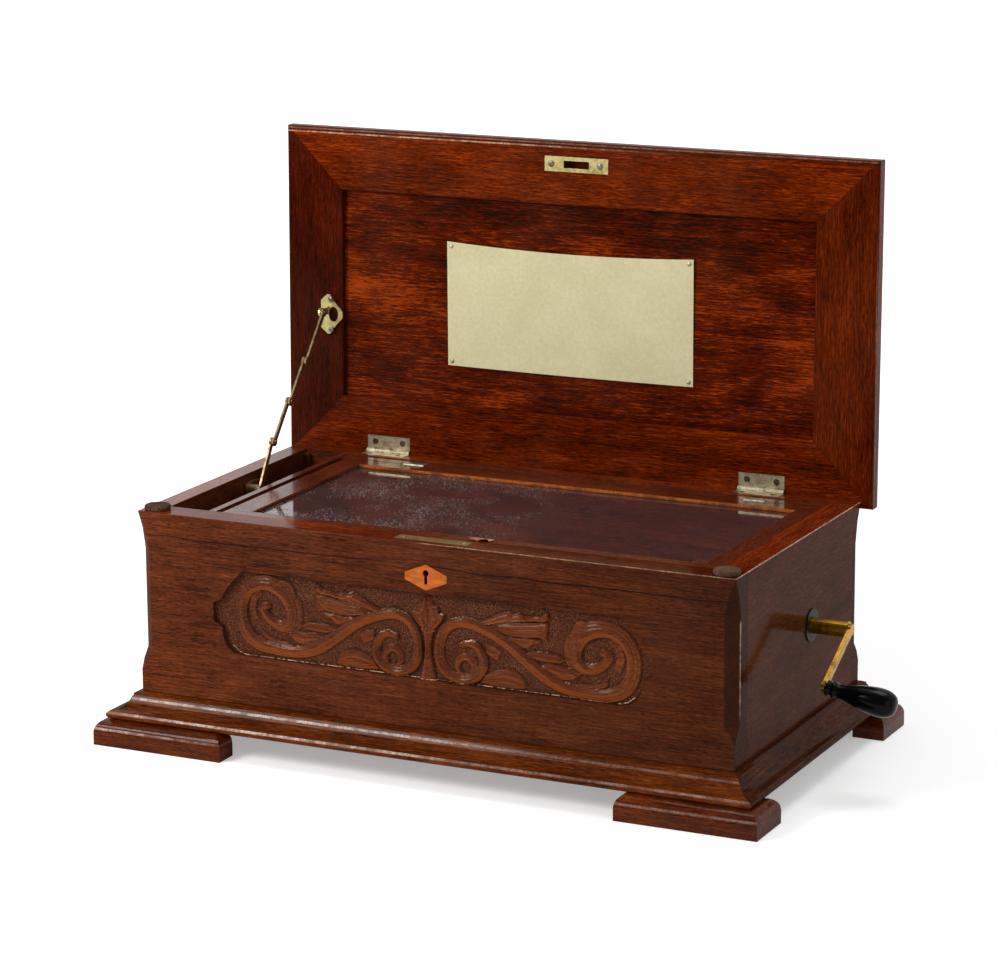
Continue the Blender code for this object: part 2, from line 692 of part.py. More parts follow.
def case_boards(frame):
    """Front, back and side boards, bottom board, partition and hinge strip."""
    front = box(
        "front_wall", (CASE_LEFT, CASE_FRONT, CASE_BOTTOM), (CASE_RIGHT, INNER_FRONT, RIM), frame
    )
    ledge = box(
        "front_ledge",
        (PARTITION_X + PARTITION_THICKNESS + SEAT_GAP, INNER_FRONT - 0.002, 0),
        (INNER_RIGHT - SEAT_GAP, INNER_FRONT + LEDGE_DEPTH, LEDGE_HEIGHT),
        frame,
        helper=True,
    )
    ledge.location.z = GLASS_LID_LOW - SEAT_GAP - LEDGE_HEIGHT / 2
    join(front, ledge)
    recess = flat(
        "front_recess",
        [recess_outline()],
        2 * RECESS_DEPTH,
        (0, CASE_FRONT, 0),
        TOWARDS_FRONT,
        frame,
        helper=True,
    )
    keyhole = flat(
        "keyhole_cut",
        [keyhole_outline()],
        FRONT_WALL,
        (0, CASE_FRONT, 0),
        TOWARDS_FRONT,
        frame,
        helper=True,
    )
    cut(front, recess, keyhole, escutcheon_seat(frame), *lock_mortises(frame))
    cut(front, chamfer_cutter("chamfer_front_left", -1, -1, frame))
    cut(front, chamfer_cutter("chamfer_front_right", 1, -1, frame))
    finish(front, MAHOGANY)

    back = box(
        "back_wall", (CASE_LEFT, INNER_BACK, CASE_BOTTOM), (CASE_RIGHT, CASE_BACK, RIM), frame
    )
    cut(back, chamfer_cutter("chamfer_back_left", -1, 1, frame))
    cut(back, chamfer_cutter("chamfer_back_right", 1, 1, frame))
    for i, x in enumerate(LID_HINGE_X):
        half = LID_HINGE.length / 2 + SEAT_GAP
        low = (x - half, LID_AXIS_Y - LID_HINGE.leaf_width - SEAT_GAP, 0)
        high = (x + half, CASE_BACK + 0.002, 0.01)
        seat = box(f"case_leaf_seat_{i}", low, high, frame, helper=True)
        seat.location.z = RIM - LID_HINGE.leaf_thickness - SEAT_GAP + 0.005
        cut(back, seat)
    finish(back, MAHOGANY)

    side_front = INNER_FRONT + SEAT_GAP
    side_back = INNER_BACK - SEAT_GAP
    left = box(
        "left_wall", (CASE_LEFT, side_front, CASE_BOTTOM), (INNER_LEFT, side_back, RIM), frame
    )
    finish(left, MAHOGANY)
    right = box(
        "right_wall", (INNER_RIGHT, side_front, CASE_BOTTOM), (CASE_RIGHT, side_back, RIM), frame
    )
    hole = rod(
        "winding_hole",
        SHAFT_RADIUS + RUNNING_GAP,
        -RIGHT_WALL,
        RIGHT_WALL,
        (CASE_RIGHT - RIGHT_WALL / 2, CRANK_Y, CRANK_Z),
        ALONG_X,
        frame,
        helper=True,
    )
    cut(right, hole)
    finish(right, MAHOGANY_DARK)

    bottom = box(
        "bottom_board",
        (INNER_LEFT + SEAT_GAP, side_front, BOARD_LOW),
        (INNER_RIGHT - SEAT_GAP, side_back, BOARD_TOP),
        frame,
    )
    finish(bottom, PINE)
    partition = box(
        "partition",
        (PARTITION_X, side_front, BOARD_TOP + SEAT_GAP),
        (PARTITION_X + PARTITION_THICKNESS, side_back, RIM - SEAT_GAP),
        frame,
    )
    finish(partition, MAHOGANY)


def escutcheon_seat(frame):
    """The shallow seat that the escutcheon is let into."""
    outline = escutcheon_outline(SEAT_GAP)
    depth = ESCUTCHEON_THICKNESS - ESCUTCHEON_PROUD + SEAT_GAP
    place = (0, CASE_FRONT, 0)
    return flat("escutcheon_seat", [outline], 2 * depth, place, TOWARDS_FRONT, frame, helper=True)


def escutcheon_outline(grown=0.0):
    """A lozenge with its two side points cut off, in X and Z."""
    half = ESCUTCHEON_HALF_WIDTH + grown
    middle = (ESCUTCHEON_TOP + ESCUTCHEON_BOTTOM) / 2
    top = ESCUTCHEON_TOP + grown
    low = ESCUTCHEON_BOTTOM - grown
    end = ESCUTCHEON_END + grown
    return [(half, middle - end), (half, middle + end), (0, top)] + [
        (-half, middle + end),
        (-half, middle - end),
        (0, low),
    ]


def lock_mortises(frame):
    """The pockets of the lock case and its selvedge in the front board's top edge."""
    half_x = SELVEDGE_WIDTH / 2 + SEAT_GAP
    half_y = SELVEDGE_DEPTH / 2 + SEAT_GAP
    shelf = box(
        "selvedge_seat",
        (LOCK_X - half_x, LOCK_Y - half_y, RIM - SELVEDGE_THICKNESS - SEAT_GAP),
        (LOCK_X + half_x, LOCK_Y + half_y, RIM + SELVEDGE_DEPTH),
        frame,
        helper=True,
    )
    half_x = LOCK_WIDTH / 2 + SEAT_GAP
    half_y = LOCK_DEPTH / 2 + SEAT_GAP
    pocket = box(
        "lock_mortise",
        (LOCK_X - half_x, LOCK_Y - half_y, RIM - LOCK_HEIGHT - SEAT_GAP),
        (LOCK_X + half_x, LOCK_Y + half_y, RIM),
        frame,
        helper=True,
    )
    return shelf, pocket


def lock(frame):
    """Lock case with its selvedge, the bolt that rises out of it, and the escutcheon."""
    case = box(
        "lock_case",
        (LOCK_X - LOCK_WIDTH / 2, LOCK_Y - LOCK_DEPTH / 2, RIM - LOCK_HEIGHT),
        (LOCK_X + LOCK_WIDTH / 2, LOCK_Y + LOCK_DEPTH / 2, RIM - SELVEDGE_THICKNESS / 2),
        frame,
    )
    selvedge = box(
        "selvedge",
        (LOCK_X - SELVEDGE_WIDTH / 2, LOCK_Y - SELVEDGE_DEPTH / 2, RIM - SELVEDGE_THICKNESS),
        (LOCK_X + SELVEDGE_WIDTH / 2, LOCK_Y + SELVEDGE_DEPTH / 2, RIM),
        frame,
        helper=True,
    )
    join(case, selvedge)
    half_x = BOLT_WIDTH / 2 + RUNNING_GAP
    half_y = BOLT_THICKNESS / 2 + RUNNING_GAP
    slot = box(
        "bolt_slot",
        (BOLT_X - half_x, BOLT_Y - half_y, RIM - BOLT_HEIGHT - RUNNING_GAP),
        (BOLT_X + half_x, BOLT_Y + half_y, RIM + BOLT_HEIGHT),
        frame,
        helper=True,
    )
    key_way = flat(
        "key_way",
        [keyhole_outline()],
        LOCK_DEPTH,
        (0, LOCK_Y - LOCK_DEPTH / 2, 0),
        TOWARDS_FRONT,
        frame,
        helper=True,
    )
    cut(case, slot, key_way)
    finish(case, BRASS)
    bolt = box(
        "lock_bolt",
        (BOLT_X - BOLT_WIDTH / 2, BOLT_Y - BOLT_THICKNESS / 2, RIM - BOLT_HEIGHT),
        (BOLT_X + BOLT_WIDTH / 2, BOLT_Y + BOLT_THICKNESS / 2, RIM),
        frame,
    )
    finish(bolt, BRASS)
    middle = -ESCUTCHEON_PROUD + ESCUTCHEON_THICKNESS / 2
    escutcheon = flat(
        "escutcheon",
        [escutcheon_outline(), keyhole_outline()],
        ESCUTCHEON_THICKNESS,
        (0, CASE_FRONT + middle, 0),
        TOWARDS_FRONT,
        frame,
    )
    finish(escutcheon, BRASS)


def plinth_profile():
    """Lip under the boards, a bead, a hollow that flares out and a rounded nose."""
    wall = PLINTH_LIP
    top = CASE_BOTTOM - SEAT_GAP
    low = FOOT_HEIGHT + SEAT_GAP
    nose = wall + PLINTH_OVERHANG - PLINTH_NOSE
    profile = [(0.0, low), (0.0, top), (wall + PLINTH_BEAD * 0.45, top)]
    profile += [(wall + PLINTH_BEAD, top - 0.0016), (wall + PLINTH_BEAD, top - 0.0034)]
    profile += curve_between(
        (wall + PLINTH_BEAD + 0.001, top - 0.0042),
        (wall + PLINTH_BEAD + 0.0045, low + 2.4 * PLINTH_NOSE),
        (nose, low + 1.95 * PLINTH_NOSE),
        5,
    )
    return profile + arc(nose, low + PLINTH_NOSE, PLINTH_NOSE, 60, -90, 5)


def plinth(frame):
    """Four mitred mouldings under the case."""
    inner = (CASE_LEFT + PLINTH_LIP, CASE_RIGHT - PLINTH_LIP)
    inner += (CASE_FRONT + PLINTH_LIP, CASE_BACK - PLINTH_LIP)
    outer = (CASE_LEFT - PLINTH_OVERHANG, CASE_RIGHT + PLINTH_OVERHANG)
    outer += (CASE_FRONT - PLINTH_OVERHANG, CASE_BACK + PLINTH_OVERHANG)
    for side in ("front", "right", "back", "left"):
        finish(frame_side(f"plinth_{side}", plinth_profile(), inner, outer, side, frame), MAHOGANY)


def foot(name, x_sign, y_sign, frame):
    """An L-shaped bracket foot with its upper outer edges and its ends rounded over."""
    outer_x = CASE_WIDTH / 2 + FOOT_PAST_CASE_X
    outer_y = CASE_DEPTH / 2 + FOOT_PAST_CASE_Y
    corners = [
        (outer_x, outer_y),
        (outer_x - FOOT_FRONT_LENGTH, outer_y),
        (outer_x - FOOT_FRONT_LENGTH, outer_y - FOOT_FRONT_DEPTH),
        (outer_x - FOOT_SIDE_WIDTH, outer_y - FOOT_FRONT_DEPTH),
        (outer_x - FOOT_SIDE_WIDTH, outer_y - FOOT_SIDE_LENGTH),
        (outer_x, outer_y - FOOT_SIDE_LENGTH),
    ]
    shape = bmesh.new()
    low = [shape.verts.new((x_sign * x, y_sign * y, 0.0)) for x, y in corners]
    high = [shape.verts.new((x_sign * x, y_sign * y, FOOT_HEIGHT)) for x, y in corners]
    shape.faces.new(low)
    shape.faces.new(high)
    for i in range(len(corners)):
        j = (i + 1) % len(corners)
        shape.faces.new((low[i], low[j], high[j], high[i]))
    bmesh.ops.recalc_face_normals(shape, faces=shape.faces)
    rounded = [
        shape.edges.get((high[0], high[1])),
        shape.edges.get((high[5], high[0])),
        shape.edges.get((high[1], high[2])),
        shape.edges.get((high[4], high[5])),
    ]
    bmesh.ops.bevel(
        shape, geom=rounded, offset=FOOT_ROUNDING, segments=5, profile=0.5, affect="EDGES"
    )
    return finish(add(name, mesh_from(name, shape), frame), MAHOGANY)


def feet(frame):
    """One bracket foot under each corner."""
    for end, y_sign in (("front", -1), ("back", 1)):
        for side, x_sign in (("left", -1), ("right", 1)):
            foot(f"foot_{end}_{side}", x_sign, y_sign, frame)


def bumper_pads(frame):
    """Round pads that the closed lid comes down on."""
    places = (("left", CASE_LEFT + PAD_FROM_LEFT), ("right", CASE_RIGHT - PAD_FROM_RIGHT))
    for side, x in places:
        edge = PAD_THICKNESS * 0.3
        top = SEAT_GAP + PAD_THICKNESS
        profile = [(0, top), (PAD_RADIUS - edge, top), (PAD_RADIUS, top - edge)]
        profile += [(PAD_RADIUS, SEAT_GAP), (0, SEAT_GAP)]
        place = (x, CASE_FRONT + PAD_FROM_FRONT, RIM)
        finish(turned(f"bumper_pad_{side}", profile, place, UPRIGHT, frame), FELT)


def knuckle_spans(size, own):
    """The start and end along X of a leaf's own knuckles, taking turns with the other's."""
    step = size.length / size.knuckles
    spans = []
    for i in range(own, size.knuckles, 2):
        low = -size.length / 2 + i * step + (RUNNING_GAP / 2 if i else 0.0)
        high = -size.length / 2 + (i + 1) * step
        spans.append((low, high - (RUNNING_GAP / 2 if i < size.knuckles - 1 else 0.0)))
    return spans


def hinge_leaf(name, size, own, side, height, x, parent):
    """A hinge leaf: own 0 has the outer knuckles and the pin, own 1 turns on that pin."""
    inset = 0.0001
    near = side * (size.radius + RUNNING_GAP)
    tongue = side * (size.pin + RUNNING_GAP + inset)
    half = size.length / 2 - inset
    low_y, high_y = sorted((tongue, side * size.leaf_width))
    leaf = box(
        name,
        (x - half, low_y, height - size.leaf_thickness / 2),
        (x + half, high_y, height + size.leaf_thickness / 2),
        parent,
    )
    low_y, high_y = sorted((-side * size.radius, near))
    edges = [-size.length]
    for low, high in knuckle_spans(size, own):
        edges += [low + inset, high - inset]
    edges.append(size.length)
    for i in range(0, len(edges), 2):
        if edges[i + 1] > -half + inset and edges[i] < half - inset:
            slot = box(
                f"{name}_slot_{i}",
                (x + edges[i], low_y, height - size.leaf_thickness),
                (x + edges[i + 1], high_y, height + size.leaf_thickness),
                parent,
                helper=True,
            )
            cut(leaf, slot)
    spans = knuckle_spans(size, own)
    if own == 0:
        profile = [(0.0, spans[-1][1])]
        for low, high in reversed(spans):
            profile += [(size.radius, high), (size.radius, low)]
            if low > spans[0][0]:
                profile += [(size.pin, low), (size.pin, spans[spans.index((low, high)) - 1][1])]
        profile.append((0.0, spans[0][0]))
        barrel = turned(
            name + "_pin", profile, (x, 0, 0), ALONG_X, parent, steps=16, helper=True
        )
        join(leaf, barrel)
    else:
        for i, (low, high) in enumerate(spans):
            knuckle = tube(
                f"{name}_knuckle_{i}",
                size.radius,
                size.pin + RUNNING_GAP,
                low,
                high,
                (x, 0, 0),
                ALONG_X,
                parent,
                steps=16,
                helper=True,
            )
            join(leaf, knuckle)
    return finish(leaf, BRIGHT_METAL)


def lid_frame_profile():
    """A lid rail from its inner edge: grooved for the panel, its outer edges rounded."""
    low = LID_UNDERSIDE
    top = low + LID_THICKNESS
    groove_low = low + PANEL_RECESS
    groove_top = groove_low + PANEL_THICKNESS + 2 * SEAT_GAP
    inner_edge = 0.0012
    profile = [(inner_edge, low), (0.0, low + inner_edge), (0.0, groove_low)]
    profile += [(PANEL_GROOVE, groove_low), (PANEL_GROOVE, groove_top), (0.0, groove_top)]
    profile += [(0.0, top - inner_edge), (inner_edge, top)]
    profile += arc(LID_RAIL - LID_EDGE_RADIUS, top - LID_EDGE_RADIUS, LID_EDGE_RADIUS, 90, 0, 5)
    profile += arc(LID_RAIL - LID_LOWER_RADIUS, low + LID_LOWER_RADIUS, LID_LOWER_RADIUS, 0, -90, 3)
    return profile


def lid(hinge_axis):
    """Mitred rails, panel, card, strike plate and the hinge leaves on the lid."""
    half_width = CASE_WIDTH / 2 + LID_SIDE_OVERHANG
    outer = (-half_width, half_width, -LID_LENGTH, LID_BEHIND_AXIS)
    inner = (outer[0] + LID_RAIL, outer[1] - LID_RAIL, outer[2] + LID_RAIL, outer[3] - LID_RAIL)
    rails = {}
    for side in ("front", "right", "back", "left"):
        name = f"lid_rail_{side}"
        rails[side] = frame_side(name, lid_frame_profile(), inner, outer, side, hinge_axis)
        finish(rails[side], MAHOGANY)
    reach = PANEL_GROOVE - SEAT_GAP
    panel_low = LID_UNDERSIDE + PANEL_RECESS + SEAT_GAP
    panel = box(
        "lid_panel",
        (inner[0] - reach, inner[2] - reach, panel_low),
        (inner[1] + reach, inner[3] + reach, panel_low + PANEL_THICKNESS),
        hinge_axis,
    )
    finish(panel, MAHOGANY)
    card = box(
        "lid_card",
        (
            CARD_X - CARD_WIDTH / 2,
            -CARD_FROM_AXIS - CARD_HEIGHT,
            panel_low - SEAT_GAP - CARD_THICKNESS,
        ),
        (CARD_X + CARD_WIDTH / 2, -CARD_FROM_AXIS, panel_low - SEAT_GAP),
        hinge_axis,
    )
    finish(card, PAPER)
    strike(rails["front"], hinge_axis)
    for i, x in enumerate(LID_HINGE_X):
        cut(rails["back"], *lid_leaf_seats(i, x, hinge_axis))
        side = "left" if x < 0 else "right"
        height = LID_UNDERSIDE + LID_HINGE.leaf_thickness / 2
        hinge_leaf(f"lid_hinge_leaf_{side}", LID_HINGE, 1, -1, height, x, hinge_axis)


def lid_leaf_seats(i, x, hinge_axis):
    """The pocket of a lid leaf in the back rail, and the hollow round its knuckles."""
    half = LID_HINGE.length / 2 + SEAT_GAP
    seat = box(
        f"lid_leaf_seat_{i}",
        (x - half, -LID_HINGE.leaf_width - SEAT_GAP, -LID_HINGE.radius),
        (x + half, 0, LID_UNDERSIDE + LID_HINGE.leaf_thickness + SEAT_GAP),
        hinge_axis,
        helper=True,
    )
    radius = LID_HINGE.radius + RUNNING_GAP
    hollow = rod(
        f"knuckle_hollow_{i}", radius, -half, half, (x, 0, 0), ALONG_X, hinge_axis, 16, helper=True
    )
    return seat, hollow


def strike(rail, hinge_axis):
    """The slotted plate that takes the bolt, let into the front rail over a mortise."""
    low = LID_UNDERSIDE
    plate = box(
        "strike_plate",
        (STRIKE_X - STRIKE_WIDTH / 2, -STRIKE_FROM_AXIS - STRIKE_DEPTH / 2, low),
        (
            STRIKE_X + STRIKE_WIDTH / 2,
            -STRIKE_FROM_AXIS + STRIKE_DEPTH / 2,
            low + STRIKE_THICKNESS,
        ),
        hinge_axis,
    )
    grown = SEAT_GAP
    seat = box(
        "strike_seat",
        (
            STRIKE_X - STRIKE_WIDTH / 2 - grown,
            -STRIKE_FROM_AXIS - STRIKE_DEPTH / 2 - grown,
            low - STRIKE_THICKNESS,
        ),
        (
            STRIKE_X + STRIKE_WIDTH / 2 + grown,
            -STRIKE_FROM_AXIS + STRIKE_DEPTH / 2 + grown,
            low + STRIKE_THICKNESS + grown,
        ),
        hinge_axis,
        helper=True,
    )
    bolt_from_axis = LID_AXIS_Y - BOLT_Y
    half_x = STRIKE_SLOT_WIDTH / 2
    half_y = STRIKE_SLOT_DEPTH / 2
    mortise = box(
        "bolt_mortise",
        (BOLT_X - half_x, -bolt_from_axis - half_y, low - STRIKE_THICKNESS),
        (BOLT_X + half_x, -bolt_from_axis + half_y, low + STRIKE_MORTISE_DEPTH),
        hinge_axis,
        helper=True,
    )
    cut(rail, seat, mortise)
    cut(plate, mortise)
    finish(plate, BRIGHT_METAL)


def case_hinge_leaves(frame):
    """The leaves on the back board, which carry the lid's hinge pins."""
    for x in LID_HINGE_X:
        side = "left" if x < 0 else "right"
        carrier = axis_empty(f"case_hinge_{side}", (0, LID_AXIS_Y, LID_AXIS_Z), frame)
        height = -LID_GAP / 2 - LID_HINGE.leaf_thickness / 2
        hinge_leaf(f"case_hinge_leaf_{side}", LID_HINGE, 0, -1, height, x, carrier)


def glass_rail_profile(width):
    """A rail of the glass lid from its inner edge, grooved round the pane."""
    low = -GLASS_LID_THICKNESS
    glass_top = -GLASS_SINK
    groove_top = glass_top + SEAT_GAP
    groove_low = glass_top - GLASS_THICKNESS - SEAT_GAP
    ease = 0.001
    return [
        (0.0, low),
        (0.0, groove_low),
        (GLASS_GROOVE, groove_low),
        (GLASS_GROOVE, groove_top),
        (0.0, groove_top),
        (0.0, -ease),
        (ease, 0.0),
        (width, 0.0),
        (width, low),
    ]


def glass_lid(frame):
    """The framed pane over the movement, its hinges and its pull tab."""
    lift = GLASS_LID_TOP - GLASS_AXIS_Z
    axis = axis_empty("glass_lid_axis", (0, GLASS_AXIS_Y, GLASS_AXIS_Z), frame)
    top = axis_empty("glass_lid_top", (0, -GLASS_AXIS_Y, lift), axis)
    outer = (GLASS_LID_LEFT, GLASS_LID_RIGHT)
    outer += (INNER_FRONT + 0.0008, GLASS_AXIS_Y - 0.0006)
    inner = (outer[0] + GLASS_RAIL_LEFT, outer[1] - GLASS_RAIL_RIGHT)
    inner += (outer[2] + GLASS_RAIL_FRONT, outer[3] - GLASS_RAIL_BACK)
    widths = {"front": GLASS_RAIL_FRONT, "back": GLASS_RAIL_BACK}
    widths.update({"left": GLASS_RAIL_LEFT, "right": GLASS_RAIL_RIGHT})
    rails = {}
    for side, width in widths.items():
        name = f"glass_rail_{side}"
        rails[side] = frame_side(name, glass_rail_profile(width), inner, outer, side, top)
        finish(rails[side], MAHOGANY)
    reach = GLASS_GROOVE - SEAT_GAP
    pane = box(
        "glass_pane",
        (inner[0] - reach, inner[2] - reach, -GLASS_SINK - GLASS_THICKNESS),
        (inner[1] + reach, inner[3] + reach, -GLASS_SINK),
        top,
    )
    finish(pane, GLASS)
    strip = box(
        "hinge_strip",
        (
            PARTITION_X + PARTITION_THICKNESS + SEAT_GAP,
            INNER_BACK - SEAT_GAP - HINGE_STRIP_DEPTH,
            GLASS_LID_LOW,
        ),
        (INNER_RIGHT - SEAT_GAP, INNER_BACK - SEAT_GAP, GLASS_LID_TOP),
        frame,
    )
    finish(strip, MAHOGANY)
    strip_axis = axis_empty("hinge_strip_axis", (0, GLASS_AXIS_Y, GLASS_AXIS_Z), frame)
    height = lift - GLASS_HINGE.leaf_thickness / 2
    for i, x in enumerate(GLASS_HINGE_X):
        side = "left" if x < 0 else "right"
        for piece, carrier, sign in ((rails["back"], axis, -1), (strip, strip_axis, 1)):
            cut(piece, *glass_leaf_seats(f"{piece.name}_{side}", x, lift, sign, carrier))
        hinge_leaf(f"glass_hinge_leaf_{side}", GLASS_HINGE, 1, -1, height, x, axis)
        hinge_leaf(f"strip_hinge_leaf_{side}", GLASS_HINGE, 0, 1, height, x, strip_axis)
    pull_tab(outer[2], top)


def glass_leaf_seats(name, x, lift, sign, carrier):
    """The pocket of a small hinge leaf and the hollow round its knuckles."""
    half = GLASS_HINGE.length / 2 + SEAT_GAP
    near, far = 0.0, sign * (GLASS_HINGE.leaf_width + SEAT_GAP)
    seat = box(
        f"leaf_seat_{name}",
        (x - half, min(near, far), lift - GLASS_HINGE.leaf_thickness - SEAT_GAP),
        (x + half, max(near, far), lift + GLASS_HINGE.radius),
        carrier,
        helper=True,
    )
    radius = GLASS_HINGE.radius + RUNNING_GAP
    hollow = rod(
        f"knuckle_hollow_{name}", radius, -half, half, (x, 0, 0), ALONG_X, carrier, 16, helper=True
    )
    return seat, hollow


def pull_tab(rail_front, top):
    """A strip of leather that curls up from the front rail, to lift the glass lid by."""
    back = rail_front + 0.7 * TAB_LENGTH
    outer = [(back, SEAT_GAP), (back - 0.006, SEAT_GAP), (back - 0.009, TAB_LIFT * 0.25)]
    outer += [(back - 0.0115, TAB_LIFT * 0.65), (back - 0.0135, TAB_LIFT)]
    upper = [(y, z + TAB_THICKNESS) for y, z in reversed(outer)]
    rings = []
    for x in (TAB_X - TAB_WIDTH / 2, TAB_X + TAB_WIDTH / 2):
        rings.append([(x, y, z) for y, z in outer + upper])
    finish(loft("pull_tab", rings, top), FELT)


def link_rotation(angle):
    """A flat link's rotation: local X points along the angle in the YZ plane."""
    return (Matrix.Rotation(angle, 3, "X") @ ALONG_X.to_matrix()).to_euler()


def stay_layer(i):
    """The X of a link's middle plane: each lies one pitch further from the lid's ear."""
    return STAY_X - i * STAY_PITCH


def lid_stay(frame, hinge_axis):
    """Four flat links between the lid's plate and the bracket on the left board."""
    count = len(STAY_PIVOTS) - 1
    for i in range(count):
        upper, lower = Vector(STAY_PIVOTS[i]), Vector(STAY_PIVOTS[i + 1])
        length = (upper - lower).length
        on_lid = i == 0
        origin, tip = (upper, lower) if on_lid else (lower, upper)
        angle = math.atan2(tip.y - origin.y, tip.x - origin.x)
        hole = circle(0, 0, RIVET_RADIUS + RUNNING_GAP, 12)
        link = flat(
            f"stay_link_{i + 1}",
            [bar((0, length), LINK_WAIST, LINK_END_RADIUS), hole],
            LINK_THICKNESS,
            (stay_layer(i), origin.x, origin.y),
            link_rotation(angle),
            frame,
        )
        if i > 1:
            rivet = rod(
                f"stay_rivet_{i}",
                RIVET_RADIUS,
                0,
                STAY_PITCH + LINK_THICKNESS / 2,
                (stay_layer(i), tip.x, tip.y),
                ALONG_X,
                frame,
                12,
                helper=True,
            )
            join(link, rivet)
        finish(link, BRIGHT_METAL)
    stay_bracket(frame)
    stay_plate(hinge_axis)


def stay_bracket(frame):
    """A plate on the left board with a boss and the pin of the lowest link."""
    base_y, base_z = STAY_PIVOTS[-1]
    lowest = stay_layer(len(STAY_PIVOTS) - 2)
    wall = INNER_LEFT + SEAT_GAP
    plate = box(
        "stay_bracket",
        (wall, base_y - STAY_BRACKET_WIDTH / 2, base_z - STAY_BRACKET_HEIGHT * 0.62),
        (wall + 0.002, base_y + STAY_BRACKET_WIDTH / 2, base_z + STAY_BRACKET_HEIGHT * 0.38),
        frame,
    )
    seat = lowest - LINK_THICKNESS / 2 - SEAT_GAP - wall
    end = lowest + LINK_THICKNESS / 2 - wall
    profile = [(0, end), (RIVET_RADIUS, end), (RIVET_RADIUS, seat), (STAY_BOSS_RADIUS, seat)]
    profile += [(STAY_BOSS_RADIUS, 0.001), (0, 0.001)]
    boss = turned(
        "stay_boss", profile, (wall, base_y, base_z), ALONG_X, frame, steps=16, helper=True
    )
    join(plate, boss)
    finish(plate, BRIGHT_METAL)


def stay_plate(hinge_axis):
    """The lozenge plate on the lid, its oval hole, and the ear with the top link's pin."""
    half_x = STAY_PLATE_WIDTH / 2
    half_y = STAY_PLATE_HEIGHT / 2
    face = LID_UNDERSIDE - SEAT_GAP
    outline = [(-half_x, half_y * 0.7), (-half_x * 0.42, half_y), (-half_x * 0.17, half_y)]
    outline += [(half_x * 0.46, half_y * 0.5), (half_x, half_y * 0.17)]
    outline += [(x, -y) for x, y in reversed(outline)]
    ear_x = STAY_X - STAY_PITCH
    beside_ear = ear_x + LINK_THICKNESS / 2 + SEAT_GAP - STAY_PLATE_X
    hole = [
        (
            beside_ear + STAY_HOLE_WIDTH / 2 * (1 + math.cos(turn)),
            STAY_HOLE_HEIGHT / 2 * math.sin(turn),
        )
        for turn in (2 * math.pi * i / 24 for i in range(24))
    ]
    plate = flat(
        "stay_plate",
        [outline, hole],
        STAY_PLATE_THICKNESS,
        (STAY_PLATE_X, -STAY_PLATE_FROM_AXIS, face - STAY_PLATE_THICKNESS / 2),
        UPRIGHT,
        hinge_axis,
    )
    pivot_from_axis, pivot_below = stay_pivot_on_lid()
    reach = pivot_below - STAY_PLATE_THICKNESS / 2
    ear = flat(
        "stay_ear",
        [bar((0, reach), LINK_END_RADIUS * 1.6, LINK_END_RADIUS)],
        LINK_THICKNESS,
        (ear_x, -pivot_from_axis, -pivot_below),
        link_rotation(math.pi / 2),
        hinge_axis,
        helper=True,
    )
    pin = rod(
        "stay_ear_pin",
        RIVET_RADIUS,
        0,
        STAY_PITCH + LINK_THICKNESS / 2,
        (ear_x, -pivot_from_axis, -pivot_below),
        ALONG_X,
        hinge_axis,
        12,
        helper=True,
    )
    above_face = box(
        "above_lid_face",
        (STAY_PLATE_X - half_x, -pivot_from_axis - half_y, face),
        (STAY_PLATE_X + half_x, -pivot_from_axis + half_y, face + LINK_END_RADIUS * 2),
        hinge_axis,
        helper=True,
    )
    join(plate, ear, pin)
    cut(plate, above_face)
    finish(plate, BRIGHT_METAL)


def stay_pivot_on_lid():
    """The top pivot seen from the closed lid: its distance from the axis and below it."""
    y, z = STAY_PIVOTS[0]
    across, up = y - LID_AXIS_Y, z - LID_AXIS_Z
    turn = LID_OPEN_ANGLE
    closed_y = across * math.cos(turn) - up * math.sin(turn)
    closed_z = across * math.sin(turn) + up * math.cos(turn)
    return -closed_y, -closed_z


def grip_profile():
    """Half of the turned grip with its blind bore, outer end first, down to the collar."""
    profile = [(GRIP_RADIUS * r, GRIP_LENGTH * z) for r, z in GRIP_SHAPE]
    bore = SPINDLE_RADIUS + RUNNING_GAP
    bore_end = GRIP_LENGTH - GRIP_BORE_END
    return profile + [(bore, 0.0), (bore, bore_end), (0.0, bore_end)]


def crank(frame):
    """Washer on the case, winding shaft with its ratchet wheel, arm and turned grip."""
    axis = axis_empty("crank_axis", (CASE_RIGHT, CRANK_Y, CRANK_Z), frame)
    washer = tube(
        "crank_washer",
        WASHER_RADIUS,
        SHAFT_RADIUS + RUNNING_GAP,
        SEAT_GAP,
        SEAT_GAP + WASHER_THICKNESS,
        (CASE_RIGHT, CRANK_Y, CRANK_Z),
        ALONG_X,
        frame,
    )
    finish(washer, IRON)
    finish(winding_shaft(axis), BRASS)
    arm = flat(
        "crank_arm",
        [bar((0, ARM_LENGTH), ARM_WIDTH, ARM_END_RADIUS, 12)],
        ARM_THICKNESS,
        (ARM_PLANE, 0, 0),
        link_rotation(ARM_ANGLE),
        axis,
    )
    arm_tip = (ARM_PLANE, ARM_LENGTH * math.cos(ARM_ANGLE), ARM_LENGTH * math.sin(ARM_ANGLE))
    grip_axis = axis_empty("grip_axis", arm_tip, axis, Euler((0.0, GRIP_DROOP, 0.0)))
    spindle = rod(
        "grip_spindle",
        SPINDLE_RADIUS,
        0,
        GRIP_FROM_ARM + GRIP_LENGTH - GRIP_BORE_END - RUNNING_GAP,
        (0, 0, 0),
        ALONG_X,
        grip_axis,
        16,
        helper=True,
    )
    join(arm, spindle)
    finish(arm, BRASS)
    grip = turned("crank_grip", grip_profile(), (GRIP_FROM_ARM, 0, 0), ALONG_X, grip_axis)
    finish(grip, EBONY)


